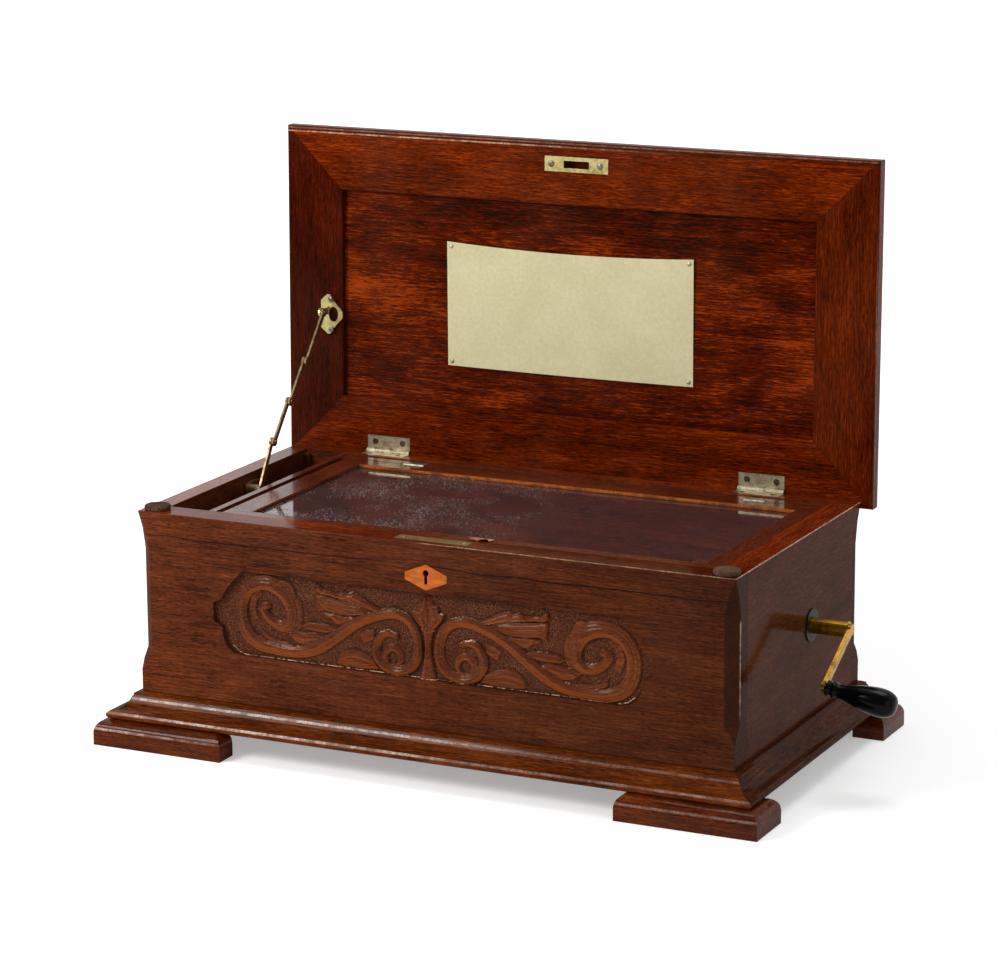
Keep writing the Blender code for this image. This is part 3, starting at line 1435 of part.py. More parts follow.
def winding_shaft(axis):
    """The shaft through the right board, stepped down to the barrel's arbor."""
    end = SHAFT_PAST_WALL
    wall = -RIGHT_WALL - 0.008
    shoulder = BARREL_BEARING_X + FRAME_PLATE / 2 + RUNNING_GAP - CASE_RIGHT
    far = RIGHT_BEARING_X - FRAME_PLATE / 2 - CASE_RIGHT
    profile = [(0, end), (SHAFT_RADIUS, end), (SHAFT_RADIUS, wall)]
    profile += [(SHAFT_INNER_RADIUS, wall), (SHAFT_INNER_RADIUS, shoulder)]
    profile += [(ARBOR_RADIUS, shoulder), (ARBOR_RADIUS, far), (0, far)]
    shaft = turned("winding_shaft", profile, (0, 0, 0), ALONG_X, axis)
    points = []
    for i in range(RATCHET_TEETH):
        start = 2 * math.pi * i / RATCHET_TEETH
        end_angle = 2 * math.pi * (i + 0.86) / RATCHET_TEETH
        inner = RATCHET_RADIUS - RATCHET_DEPTH
        points.append((RATCHET_RADIUS * math.cos(start), RATCHET_RADIUS * math.sin(start)))
        points.append((inner * math.cos(end_angle), inner * math.sin(end_angle)))
    ratchet = flat(
        "ratchet_wheel",
        [points],
        RATCHET_THICKNESS,
        (shoulder + RATCHET_THICKNESS / 2 + 0.001, 0, 0),
        ALONG_X,
        axis,
        helper=True,
    )
    join(shaft, ratchet)
    return shaft


def bedplate(frame):
    """The cast bed with its feet, the land that the comb is screwed to and the lever's post."""
    low = BEDPLATE_TOP - BEDPLATE_THICKNESS
    bed = box(
        "bedplate",
        (BEDPLATE_LEFT, BEDPLATE_FRONT, low),
        (BEDPLATE_RIGHT, BEDPLATE_BACK, BEDPLATE_TOP),
        frame,
    )
    for i, x in enumerate((BEDPLATE_LEFT, BEDPLATE_RIGHT)):
        for j, y in enumerate((BEDPLATE_FRONT, BEDPLATE_BACK)):
            inset = BEDPLATE_FOOT_INSET
            place = (x + (inset if i == 0 else -inset), y + (inset if j == 0 else -inset), 0)
            support = rod(
                f"bedplate_foot_{i}{j}",
                BEDPLATE_FOOT_RADIUS,
                BOARD_TOP + SEAT_GAP,
                low + BEDPLATE_THICKNESS / 2,
                place,
                UPRIGHT,
                frame,
                16,
                helper=True,
            )
            join(bed, support)
    half = COMB_TEETH * COMB_PITCH / 2
    land = box(
        "comb_land",
        (COMB_X - half, COMB_BACK_Y - 0.001, low + BEDPLATE_THICKNESS / 2),
        (
            COMB_X + half,
            COMB_BACK_Y + COMB_BASE_DEPTH - 0.001,
            CYLINDER_Z - COMB_THICKNESS / 2 - SEAT_GAP,
        ),
        frame,
        helper=True,
    )
    post = [(0, LEVER_Z + LEVER_THICKNESS), (LEVER_PIN_RADIUS, LEVER_Z + LEVER_THICKNESS)]
    post += [(LEVER_PIN_RADIUS, LEVER_Z - LEVER_THICKNESS / 2 - SEAT_GAP)]
    post += [(LEVER_POST_RADIUS, LEVER_Z - LEVER_THICKNESS / 2 - SEAT_GAP)]
    post += [(LEVER_POST_RADIUS, low + BEDPLATE_THICKNESS / 2), (0, low + BEDPLATE_THICKNESS / 2)]
    lever_post = turned(
        "lever_post", post, (LEVER_X, LEVER_Y, 0), UPRIGHT, frame, steps=16, helper=True
    )
    join(bed, land, lever_post)
    finish(bed, BRASS)


def comb(frame):
    """The tuned steel comb: slits between its teeth, shorter towards the treble end."""
    tips, back = COMB_TIP_Y, COMB_BACK_Y
    half = COMB_TEETH * COMB_PITCH / 2
    gap = COMB_PITCH - COMB_TOOTH
    points = [(COMB_X - half, back)]
    for i in range(COMB_TEETH):
        start = COMB_X - half + i * COMB_PITCH + gap / 2
        depth = COMB_TOOTH_LENGTH * (1.0 - 0.45 * i / (COMB_TEETH - 1))
        if i:
            points.append((start, tips - depth))
        points += [(start, tips), (start + COMB_TOOTH, tips)]
        if i < COMB_TEETH - 1:
            points.append((start + COMB_TOOTH, tips - depth))
    points.append((COMB_X + half, back))
    points[0] = (points[1][0], back)
    points[-1] = (points[-2][0], back)
    piece = flat(
        "comb", [points], COMB_THICKNESS, (0, 0, CYLINDER_Z), UPRIGHT, frame
    )
    finish(piece, STEEL)


def line_angle(from_y, from_z, to_y, to_z):
    """The direction from one axis to another in the YZ plane."""
    return math.atan2(to_z - from_z, to_y - from_y)


def cylinder(frame):
    """The pin cylinder on its arbor, with the wheel of the governor and the drive pinion."""
    left_end = LEFT_BEARING_X - FRAME_PLATE / 2 - 0.001
    right_end = BARREL_WHEEL_X + BARREL_WHEEL_THICKNESS + PINION_EXTRA
    rim = CYLINDER_RADIUS * 0.82
    profile = [(0, right_end), (JOURNAL_RADIUS, right_end)]
    profile += [(JOURNAL_RADIUS, CYLINDER_RIGHT - CYLINDER_END_SINK)]
    profile += [(rim, CYLINDER_RIGHT - CYLINDER_END_SINK), (rim, CYLINDER_RIGHT)]
    profile += [(CYLINDER_RADIUS, CYLINDER_RIGHT), (CYLINDER_RADIUS, CYLINDER_LEFT)]
    profile += [(rim, CYLINDER_LEFT), (rim, CYLINDER_LEFT + CYLINDER_END_SINK)]
    profile += [(JOURNAL_RADIUS, CYLINDER_LEFT + CYLINDER_END_SINK)]
    profile += [(JOURNAL_RADIUS, left_end), (0, left_end)]
    place = (0, CYLINDER_Y, CYLINDER_Z)
    drum = turned("pin_cylinder", profile, place, ALONG_X, frame, steps=40)
    to_barrel = line_angle(CYLINDER_Y, CYLINDER_Z, CRANK_Y, CRANK_Z)
    pinion = flat(
        "drive_pinion",
        [gear_outline(PINION_TEETH, DRIVE_MODULE, to_barrel + math.pi / PINION_TEETH)],
        BARREL_WHEEL_THICKNESS + 2 * PINION_EXTRA - 0.0004,
        (BARREL_WHEEL_X + BARREL_WHEEL_THICKNESS / 2, CYLINDER_Y, CYLINDER_Z),
        ALONG_X,
        frame,
        helper=True,
    )
    wheel = flat(
        "cylinder_wheel",
        [gear_outline(CYLINDER_WHEEL_TEETH, GOVERNOR_MODULE, GOVERNOR_ANGLE)],
        WHEEL_THICKNESS,
        (WHEEL_X + WHEEL_THICKNESS / 2, CYLINDER_Y, CYLINDER_Z),
        ALONG_X,
        frame,
        helper=True,
    )
    join(drum, pinion, wheel)
    finish(drum, BRASS)


def spring_barrel(frame):
    """The mainspring's barrel with its toothed wheel, free to turn on the winding arbor."""
    bore = ARBOR_RADIUS + RUNNING_GAP
    start = BARREL_WHEEL_X + BARREL_WHEEL_THICKNESS / 2
    end = start + BARREL_WHEEL_THICKNESS / 2 + BARREL_LENGTH
    lip = 0.0025
    profile = [(BARREL_RADIUS - lip, end), (BARREL_RADIUS, end - lip)]
    profile += [(BARREL_RADIUS, start), (bore, start), (bore, end)]
    place = (0, CRANK_Y, CRANK_Z)
    drum = turned("spring_barrel", profile, place, ALONG_X, frame, steps=36, closed=True)
    to_cylinder = line_angle(CRANK_Y, CRANK_Z, CYLINDER_Y, CYLINDER_Z)
    wheel = flat(
        "barrel_wheel",
        [gear_outline(BARREL_TEETH, DRIVE_MODULE, to_cylinder), circle(0, 0, bore, 24)],
        BARREL_WHEEL_THICKNESS,
        (BARREL_WHEEL_X + BARREL_WHEEL_THICKNESS / 2, CRANK_Y, CRANK_Z),
        ALONG_X,
        frame,
        helper=True,
    )
    join(drum, wheel)
    finish(drum, BRASS)


def bearing_plate(name, x, posts, frame, helper=False):
    """An upright across X: for each (y, z, bore) a round-headed post on a common foot."""
    pieces = []
    for i, (y, z, bore) in enumerate(posts):
        half = BEARING_HEAD
        head = arc(y, z, half, 0, 180, 8)
        low = BEDPLATE_TOP + SEAT_GAP + FRAME_BASE / 2
        outline = head + [(y - half, low), (y + half, low)]
        label = name if i == 0 and not helper else f"{name}_post_{i}"
        post = flat(
            label,
            [outline, circle(y, z, bore, 20)],
            FRAME_PLATE,
            (x, 0, 0),
            ALONG_X,
            frame,
            helper=helper or i > 0,
        )
        pieces.append(post)
    return pieces


def barrel_frame(frame):
    """The casting that carries the barrel's arbor and the cylinder's right journal."""
    front = CYLINDER_Y - BEARING_HEAD - 0.004
    back = CRANK_Y + BEARING_HEAD + 0.010
    base = box(
        "barrel_frame",
        (RIGHT_BEARING_X - FRAME_PLATE / 2, front, BEDPLATE_TOP + SEAT_GAP),
        (BARREL_BEARING_X + FRAME_PLATE / 2, back, FRAME_TOP),
        frame,
    )
    inner = [
        (CYLINDER_Y, CYLINDER_Z, JOURNAL_RADIUS + RUNNING_GAP),
        (CRANK_Y, CRANK_Z, ARBOR_RADIUS + RUNNING_GAP),
    ]
    outer = [(CRANK_Y, CRANK_Z, ARBOR_RADIUS + RUNNING_GAP)]
    join(base, *bearing_plate("right_bearing", RIGHT_BEARING_X, inner, frame, helper=True))
    join(base, *bearing_plate("barrel_bearing", BARREL_BEARING_X, outer, frame, helper=True))
    finish(base, BRASS)


def governor_frame(frame):
    """The casting with the cylinder's left bearing, the wheel's bearings and the fan's cock."""
    left = FAN_X - FAN_RADIUS - 0.006
    right = LEFT_BEARING_X + FRAME_PLATE / 2
    front = CYLINDER_Y - BEARING_HEAD - 0.004
    pillar_y = FAN_Y + FAN_RADIUS + 0.004
    pillar = 0.006
    base = box(
        "governor_frame",
        (left, front, BEDPLATE_TOP + SEAT_GAP),
        (right, pillar_y + pillar, FRAME_TOP),
        frame,
    )
    journals = [
        (CYLINDER_Y, CYLINDER_Z, JOURNAL_RADIUS + RUNNING_GAP),
        (GOVERNOR_Y, GOVERNOR_Z, FAN_ARBOR_RADIUS * 1.6 + RUNNING_GAP),
    ]
    join(base, *bearing_plate("left_bearing", LEFT_BEARING_X, journals, frame, helper=True))
    arm_top = FAN_Z + FAN_HEIGHT / 2 + 0.008
    column = box(
        "fan_pillar",
        (FAN_X - 0.008, pillar_y, FRAME_TOP - FRAME_BASE / 2),
        (FAN_X + 0.008, pillar_y + pillar, arm_top + 0.004),
        frame,
        helper=True,
    )
    cock = box(
        "fan_cock",
        (FAN_X - 0.005, FAN_Y - 0.005, arm_top),
        (FAN_X + 0.005, pillar_y + pillar / 2, arm_top + 0.0035),
        frame,
        helper=True,
    )
    outer_cock = box(
        "outer_wheel_cock",
        (left + 0.001, GOVERNOR_Y - 0.006, FRAME_TOP - FRAME_BASE / 2),
        (left + 0.005, GOVERNOR_Y + 0.006, GOVERNOR_Z + 0.006),
        frame,
        helper=True,
    )
    join(base, column, cock, outer_cock)
    fan_bore = rod(
        "fan_bore",
        FAN_ARBOR_RADIUS + RUNNING_GAP,
        FRAME_TOP - 0.003,
        arm_top + 0.002,
        (FAN_X, FAN_Y, 0),
        UPRIGHT,
        frame,
        12,
        helper=True,
    )
    wheel_bore = rod(
        "outer_wheel_bore",
        FAN_ARBOR_RADIUS + RUNNING_GAP,
        left - 0.002,
        left + 0.008,
        (0, GOVERNOR_Y, GOVERNOR_Z),
        ALONG_X,
        frame,
        12,
        helper=True,
    )
    cut(base, fan_bore, wheel_bore)
    finish(base, BRASS)


def governor_wheel(frame):
    """The arbor with the pinion that the cylinder drives and the wheel of the screw."""
    left = FAN_X - FAN_RADIUS - 0.005
    thin, thick = FAN_ARBOR_RADIUS, FAN_ARBOR_RADIUS * 1.6
    right = WHEEL_X + WHEEL_THICKNESS
    profile = [(0, right), (thick, right), (thick, WORM_WHEEL_X), (thin, WORM_WHEEL_X)]
    profile += [(thin, left), (0, left)]
    place = (0, GOVERNOR_Y, GOVERNOR_Z)
    arbor = turned("governor_wheel", profile, place, ALONG_X, frame, steps=12)
    phase = GOVERNOR_ANGLE + math.pi + math.pi / GOVERNOR_PINION_TEETH
    pinion = flat(
        "governor_pinion",
        [gear_outline(GOVERNOR_PINION_TEETH, GOVERNOR_MODULE, phase)],
        WHEEL_THICKNESS - 0.0006,
        (WHEEL_X + WHEEL_THICKNESS / 2, GOVERNOR_Y, GOVERNOR_Z),
        ALONG_X,
        frame,
        helper=True,
    )
    worm_wheel = flat(
        "worm_wheel",
        [gear_outline(WORM_WHEEL_TEETH, WORM_MODULE, 0.0)],
        WORM_WHEEL_THICKNESS,
        (WORM_WHEEL_X, GOVERNOR_Y, GOVERNOR_Z),
        ALONG_X,
        frame,
        helper=True,
    )
    join(arbor, pinion, worm_wheel)
    finish(arbor, BRASS)


def governor_fan(frame):
    """The endless screw on its upright arbor, with the two blades that brake it in the air."""
    foot_z = FRAME_TOP - 0.003 + RUNNING_GAP
    top_z = FAN_Z + FAN_HEIGHT / 2 + 0.0095
    screw_top = GOVERNOR_Z + WORM_LENGTH / 2
    screw_low = GOVERNOR_Z - WORM_LENGTH / 2
    profile = [(0, top_z), (FAN_ARBOR_RADIUS, top_z), (FAN_ARBOR_RADIUS, screw_top)]
    for i in range(WORM_TURNS):
        pitch = WORM_LENGTH / WORM_TURNS
        crest = screw_top - (i + 0.5) * pitch
        groove = WORM_RADIUS * 0.68
        profile += [(groove, crest + 0.45 * pitch), (WORM_RADIUS, crest + 0.12 * pitch)]
        profile += [(WORM_RADIUS, crest - 0.12 * pitch), (groove, crest - 0.45 * pitch)]
    profile += [(FAN_ARBOR_RADIUS, screw_low), (FAN_ARBOR_RADIUS, foot_z), (0, foot_z)]
    arbor = turned("governor_fan", profile, (FAN_X, FAN_Y, 0), UPRIGHT, frame, steps=12)
    blades = box(
        "fan_blades",
        (FAN_X - FAN_BLADE / 2, FAN_Y - FAN_RADIUS, FAN_Z - FAN_HEIGHT / 2),
        (FAN_X + FAN_BLADE / 2, FAN_Y + FAN_RADIUS, FAN_Z + FAN_HEIGHT / 2),
        frame,
        helper=True,
    )
    join(arbor, blades)
    finish(arbor, BRASS)


def play_lever(frame):
    """The start and stop lever on its post, with a knob at the front and a tip at the fan."""
    low = LEVER_Z - LEVER_THICKNESS / 2
    pin_hole = circle(0, 0, LEVER_PIN_RADIUS + RUNNING_GAP, 16)
    tip_x = FAN_X - FAN_RADIUS - 0.0015 - LEVER_X
    outline = [(-0.004, -LEVER_FRONT), (0.004, -LEVER_FRONT), (0.006, 0.0)]
    outline += [(0.005, LEVER_BACK * 0.45), (tip_x, LEVER_BACK * 0.72)]
    outline += [(tip_x, LEVER_BACK), (tip_x - 0.004, LEVER_BACK), (-0.006, LEVER_BACK * 0.4)]
    outline += [(-0.006, 0.0)]
    lever = flat(
        "play_lever",
        [outline, pin_hole],
        LEVER_THICKNESS,
        (LEVER_X, LEVER_Y, LEVER_Z),
        UPRIGHT,
        frame,
    )
    knob_top = low + LEVER_KNOB_HEIGHT
    knob_profile = [(0, knob_top), (LEVER_KNOB_RADIUS * 0.7, knob_top)]
    knob_profile += [(LEVER_KNOB_RADIUS, knob_top - 0.0015), (LEVER_KNOB_RADIUS, low + 0.004)]
    knob_profile += [(LEVER_KNOB_RADIUS * 0.5, low + 0.003), (LEVER_KNOB_RADIUS * 0.5, low + 0.001)]
    knob_profile += [(0, low + 0.001)]
    knob = turned(
        "lever_knob",
        knob_profile,
        (LEVER_X, LEVER_Y - LEVER_FRONT + 0.005, 0),
        UPRIGHT,
        frame,
        steps=12,
        helper=True,
    )
    join(lever, knob)
    finish(lever, BRASS)


def build():
    """Make every piece of the musical box."""
    clear_scene()
    middle_x = sum(LOWEST_TO_HIGHEST_X) / 2
    frame = axis_empty("case_frame", (-middle_x, 0, 0))
    case_boards(frame)
    lock(frame)
    plinth(frame)
    feet(frame)
    bumper_pads(frame)
    opened = Euler((-LID_OPEN_ANGLE, 0.0, 0.0))
    lid_axis = axis_empty("lid_axis", (0, LID_AXIS_Y, LID_AXIS_Z), frame, opened)
    lid(lid_axis)
    case_hinge_leaves(frame)
    glass_lid(frame)
    lid_stay(frame, lid_axis)
    crank(frame)
    bedplate(frame)
    comb(frame)
    cylinder(frame)
    spring_barrel(frame)
    barrel_frame(frame)
    governor_frame(frame)
    governor_wheel(frame)
    governor_fan(frame)
    play_lever(frame)


if __name__ == "__main__":
    build()
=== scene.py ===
"""Looks of a crank-wound musical box: a carved mahogany case with its lid open.

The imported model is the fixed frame. Its boards, hinges, wheels and links get their finish
here, and the carving, screws, pads, card and turned grip are made here and ride on it.
Metres, +Z up, the front towards -Y. Sizes along X that are taken from the case's own
middle are moved by CASE_MIDDLE.
"""

import logging
import math
from dataclasses import dataclass
from enum import Enum
from functools import cache

import bmesh
import bpy
import numpy as np
from mathutils import Euler, Matrix, Vector


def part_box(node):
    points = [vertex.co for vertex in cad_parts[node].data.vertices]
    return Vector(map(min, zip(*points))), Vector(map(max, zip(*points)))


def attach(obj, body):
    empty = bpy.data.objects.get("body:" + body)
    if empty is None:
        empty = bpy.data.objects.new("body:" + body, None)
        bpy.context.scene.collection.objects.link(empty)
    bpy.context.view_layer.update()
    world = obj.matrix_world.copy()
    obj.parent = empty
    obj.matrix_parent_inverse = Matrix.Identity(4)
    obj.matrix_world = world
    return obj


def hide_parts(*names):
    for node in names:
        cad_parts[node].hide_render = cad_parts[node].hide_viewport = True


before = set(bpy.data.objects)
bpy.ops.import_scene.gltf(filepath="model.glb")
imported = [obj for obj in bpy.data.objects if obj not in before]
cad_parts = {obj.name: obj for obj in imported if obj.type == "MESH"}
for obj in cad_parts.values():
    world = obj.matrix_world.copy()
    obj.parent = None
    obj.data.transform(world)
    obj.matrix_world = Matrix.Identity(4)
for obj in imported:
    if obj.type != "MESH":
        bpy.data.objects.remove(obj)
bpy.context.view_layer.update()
LOG = logging.getLogger("music_box")

Point = tuple[float, float]
Triple = tuple[float, float, float]
Colour = tuple[float, float, float, float]
Node = bpy.types.Node
Wire = bpy.types.NodeSocket
Sockets = bpy.types.bpy_prop_collection
Tree = bpy.types.NodeTree
Material = bpy.types.Material
Mesh = bpy.types.Mesh
Piece = bpy.types.Object
Grid = np.ndarray

X, Y, Z = 0, 1, 2
UP, DOWN = (0, 0, 1), (0, 0, -1)
FORWARD, BACKWARD = (0, -1, 0), (0, 1, 0)
CASE_MIDDLE = sum(corner.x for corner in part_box("front_wall")) / 2
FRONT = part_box("front_wall")[0].y
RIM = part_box("front_wall")[1].z
LEFT_END, RIGHT_END = (corner.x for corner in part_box("front_wall"))
LID_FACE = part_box("lid_rail_front")[0].y
LID_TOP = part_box("lid_rail_front")[1].z
LID_SIDES = tuple(corner.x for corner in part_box("lid_rail_front"))
MOULDING_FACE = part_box("plinth_front")[0].y
MOULDING_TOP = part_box("plinth_front")[1].z
FOOT_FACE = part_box("foot_front_left")[0].y
FOOT_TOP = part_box("foot_front_left")[1].z
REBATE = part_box("glass_rail_back")[0].y
GLAZED_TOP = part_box("glass_rail_back")[1].z
# How far the open lid's front edge leans back, and the depth of the case's corner chamfer
LID_LEAN = 0.00096
CHAMFER_DEPTH = 0.012
# Painted highlight lines on the mouldings and the feet: how far behind the face, and how far below
# the top
COVE = (0.0177, 0.0062)
NOSE = (0.0011, 0.0176)
FOOT_ROUNDING = (0.0007, 0.0083)
# Where the lid's painted highlight lines and its painted shade, a dark band along its top edge, lie
# below its top
LID_LINE_DROPS = (0.0052, 0.0018)
LID_BAND_DROPS = (0.0056, 0.0050)


@dataclass(frozen=True)
class WearAndHighlightEdge:
    """A straight edge painted pale, given by its place on the two axes that it lies across: rubbed
    wear together with painted highlights on the case, and painted highlights on the lid, the
    mouldings and the rebate.
    """

    axis: int
    at: float
    other: int
    other_at: float
    strength: float
    low: float = -9.0
    high: float = 9.0


# Pale lines on the case's rim edges and right front corner: partly rubbed wear and partly painted
# highlights.
CASE_LINES = (
    WearAndHighlightEdge(X, RIGHT_END, Z, RIM, 1.0),
    WearAndHighlightEdge(Y, FRONT, Z, RIM, 0.5, low=-0.05),
    WearAndHighlightEdge(X, LEFT_END, Z, RIM, 0.4),
    WearAndHighlightEdge(X, RIGHT_END, Y, FRONT + CHAMFER_DEPTH, 0.6, 0.088, 0.184),
)
# Painted highlight lines along the lid's top edge and its two sides.
LID_HIGHLIGHTS = (
    WearAndHighlightEdge(Y, LID_FACE + LID_LEAN, Z, LID_TOP - LID_LINE_DROPS[0], 0.9, high=0.10),
    WearAndHighlightEdge(Y, LID_FACE + LID_LEAN, Z, LID_TOP - LID_LINE_DROPS[1], 0.25),
    WearAndHighlightEdge(X, LID_SIDES[0], Y, LID_FACE, 0.25),
    WearAndHighlightEdge(X, LID_SIDES[1], Y, LID_FACE, 0.3),
)
# Painted highlight lines along the plinth's cove and nose and the feet's rounding, strong at the
# left and fading to the right.
MOULDING_HIGHLIGHTS = tuple(
    WearAndHighlightEdge(Y, face + behind, Z, top - below, strength, high=high)
    for face, top, (behind, below), places in (
        (MOULDING_FACE, MOULDING_TOP, COVE, ((0.72, 0.12), (0.14, 9.0))),
        (MOULDING_FACE, MOULDING_TOP, NOSE, ((0.78, 0.12), (0.24, 9.0))),
        (FOOT_FACE, FOOT_TOP, FOOT_ROUNDING, ((0.70, -0.18), (0.20, 9.0))),
    )
    for strength, high in places
)
# A painted orange highlight along the front top edge of the glass lid's back rail, at its rebate.
REBATE_HIGHLIGHTS = (WearAndHighlightEdge(Y, REBATE - 0.0008, Z, GLAZED_TOP - 0.0014, 0.9),)


class Grain(Enum):
    """The direction a board's grain runs in, as the order in which its axes are read."""

    ALONG_X = (X, Y, Z)
    ALONG_Y = (Y, X, Z)
    ALONG_Z = (Z, Y, X)


class Board(Enum):
    """What a board is, for the looks that depend on where its faces lie."""

    PLAIN = "plain"
    CASE = "case"
    LID = "lid"
    CARVED = "carved"
    MOULDED = "moulded"
    GLAZED = "glazed"


class Socket(Enum):
    """Kinds of input that the node groups and modifiers take."""

    NUMBER = "NodeSocketFloat"
    COLOUR = "NodeSocketColor"
    VECTOR = "NodeSocketVector"
    SHAPE = "NodeSocketGeometry"
    OBJECT = "NodeSocketObject"
    MATERIAL = "NodeSocketMaterial"
    COUNT = "NodeSocketInt"


def tone(red: float, green: float, blue: float) -> Colour:
    """Turns a colour of 0 to 255 as a screen shows it into linear light.

    Args:
        red: Red, 0 to 255.
        green: Green, 0 to 255.
        blue: Blue, 0 to 255.

    Returns:
        The linear colour with an alpha of 1.
    """
    linear = []
    for part in (red, green, blue):
        v = part / 255
        linear.append(v / 12.92 if v <= 0.04045 else ((v + 0.055) / 1.055) ** 2.4)
    return (linear[0], linear[1], linear[2], 1.0)


class Wiring:
    """Writes the nodes and links of one node tree."""

    def __init__(self, tree: Tree) -> None:
        """Keeps the tree that the nodes go into."""
        self.tree = tree

    def node(self, kind: str, **settings: object) -> Node:
        """Adds a node.

        Args:
            kind: The node's type name.
            **settings: Properties to set on it.

        Returns:
            The new node.
        """
        made = self.tree.nodes.new(kind)
        for name, value in settings.items():
            setattr(made, name, value)
        return made

    def feed(self, target: Wire, value: object) -> None:
        """Links a socket to a target, or sets the target to a plain value."""
        if isinstance(value, Wire):
            self.tree.links.new(value, target)
        else:
            target.default_value = value

    def fill(self, targets: Sockets, values: dict[str, object]) -> None:
        """Feeds several sockets.

        Args:
            targets: The sockets of one side of a node.
            values: What each of them gets, by its name.
        """
        for name, value in values.items():
            self.feed(targets[name], value)

    def math(self, operation: str, a: object, b: object = 0.0, clamp: bool = False) -> Wire:
        """Adds a math node.

        Args:
            operation: The math node's operation.
            a: The first value, a number or a socket.
            b: The second value.
            clamp: Whether the result is held within 0 and 1.

        Returns:
            The result's socket.
        """
        made = self.node("ShaderNodeMath", operation=operation, use_clamp=clamp)
        self.feed(made.inputs[0], a)
        self.feed(made.inputs[1], b)
        return made.outputs[0]

    def plus(self, a: object, b: object, clamp: bool = False) -> Wire:
        """Adds two values, as in math."""
        return self.math("ADD", a, b, clamp)

    def minus(self, a: object, b: object) -> Wire:
        """Takes the second value from the first."""
        return self.math("SUBTRACT", a, b)

    def times(self, a: object, b: object, clamp: bool = False) -> Wire:
        """Multiplies two values, as in math."""
        return self.math("MULTIPLY", a, b, clamp)

    def larger(self, a: object, b: object) -> Wire:
        """Gives the larger of two values."""
        return self.math("MAXIMUM", a, b)

    def split(self, vector: object) -> tuple[Wire, ...]:
        """Takes a vector apart into its X, Y and Z."""
        made = self.node("ShaderNodeSeparateXYZ")
        self.feed(made.inputs[0], vector)
        return tuple(made.outputs)

    def mix(self, factor: object, a: object, b: object, blend: str = "MIX") -> Wire:
        """Mixes two colours.

        Args:
            factor: How much of the second colour, 0 to 1.
            a: The first colour.
            b: The second colour.
            blend: The blend type.

        Returns:
            The mixed colour's socket.
        """
        made = self.node("ShaderNodeMix", data_type="RGBA", blend_type=blend, clamp_factor=True)
        self.feed(made.inputs[0], factor)
        self.feed(made.inputs[6], a)
        self.feed(made.inputs[7], b)
        return made.outputs[2]

    def span(
        self, value: object, low: float, high: float, to_low: float = 0.0, to_high: float = 1.0
    ) -> Wire:
        """Maps a value from one range to another, smoothly and held at the ends.

        Args:
            value: The value to map.
            low: The value that becomes to_low.
            high: The value that becomes to_high.
            to_low: The result at low.
            to_high: The result at high.

        Returns:
            The result's socket.
        """
        made = self.node("ShaderNodeMapRange", interpolation_type="SMOOTHSTEP")
        ends = {"From Min": low, "From Max": high, "To Min": to_low, "To Max": to_high}
        self.fill(made.inputs, {"Value": value, **ends})
        return made.outputs["Result"]

    def stretched(self, vector: object, scale: Triple, shift: Triple = (0.0, 0.0, 0.0)) -> Wire:
        """Scales and shifts a vector.

        Args:
            vector: The vector's socket.
            scale: The scale along each axis.
            shift: What is added after it.

        Returns:
            The changed vector's socket.
        """
        made = self.node("ShaderNodeMapping")
        self.fill(made.inputs, {"Vector": vector, "Scale": scale, "Location": shift})
        return made.outputs[0]

    def noise(
        self,
        vector: object,
        scale: float,
        detail: float = 3.0,
        rough: float = 0.55,
        warp: float = 0.0,
    ) -> Wire:
        """Adds a noise texture.

        Args:
            vector: Where it is read.
            scale: Its scale.
            detail: Its octaves.
            rough: How strong the fine octaves are.
            warp: Its distortion.

        Returns:
            The noise's value, 0 to 1.
        """
        made = self.node("ShaderNodeTexNoise")
        look = {"Scale": scale, "Detail": detail, "Roughness": rough, "Distortion": warp}
        self.fill(made.inputs, {"Vector": vector, **look})
        return made.outputs[0]

    def cells(self, vector: object, scale: float, feature: str = "F1") -> Wire:
        """Adds a cell texture.

        Args:
            vector: Where it is read.
            scale: Its scale.
            feature: The feature that is measured to.

        Returns:
            The distance's socket.
        """
        made = self.node("ShaderNodeTexVoronoi", feature=feature)
        self.fill(made.inputs, {"Vector": vector, "Scale": scale})
        return made.outputs["Distance"]

    def group(self, tree: Tree, **values: object) -> Sockets:
        """Adds a shared group.

        Args:
            tree: The group.
            **values: What its inputs are fed with.

        Returns:
            The group's outputs.
        """
        made = self.node("ShaderNodeGroup")
        made.node_tree = tree
        self.fill(made.inputs, values)
        return made.outputs

    def bump(self, target: Wire, height: object, depth: float) -> None:
        """Gives a shader a bump of a real depth.

        Args:
            target: The shader's normal.
            height: The bump's height, 0 to 1.
            depth: The depth in metres that 1 stands for.
        """
        made = self.node("ShaderNodeBump")
        self.fill(made.inputs, {"Distance": depth, "Strength": 1.0, "Height": height})
        self.feed(target, made.outputs[0])


def shared_group(
    name: str,
    inputs: list[tuple[str, Socket, object]],
    outputs: list[tuple[str, Socket]],
    kind: str = "ShaderNodeTree",
) -> tuple[Wiring, Sockets, Sockets]:
    """Makes a node group with its sockets.

    Args:
        name: The group's name.
        inputs: Each input's name, kind and default.
        outputs: Each output's name and kind.
        kind: The tree's type.

    Returns:
        The group's wiring, what it is given, and what it gives back.
    """
    tree = bpy.data.node_groups.new(name, kind)
    for title, socket, default in inputs:
        made = tree.interface.new_socket(title, in_out="INPUT", socket_type=socket.value)
        if default is not None:
            made.default_value = default
    for title, socket in outputs:
        tree.interface.new_socket(title, in_out="OUTPUT", socket_type=socket.value)
    wiring = Wiring(tree)
    start, end = wiring.node("NodeGroupInput"), wiring.node("NodeGroupOutput")
    return wiring, start.outputs, end.inputs


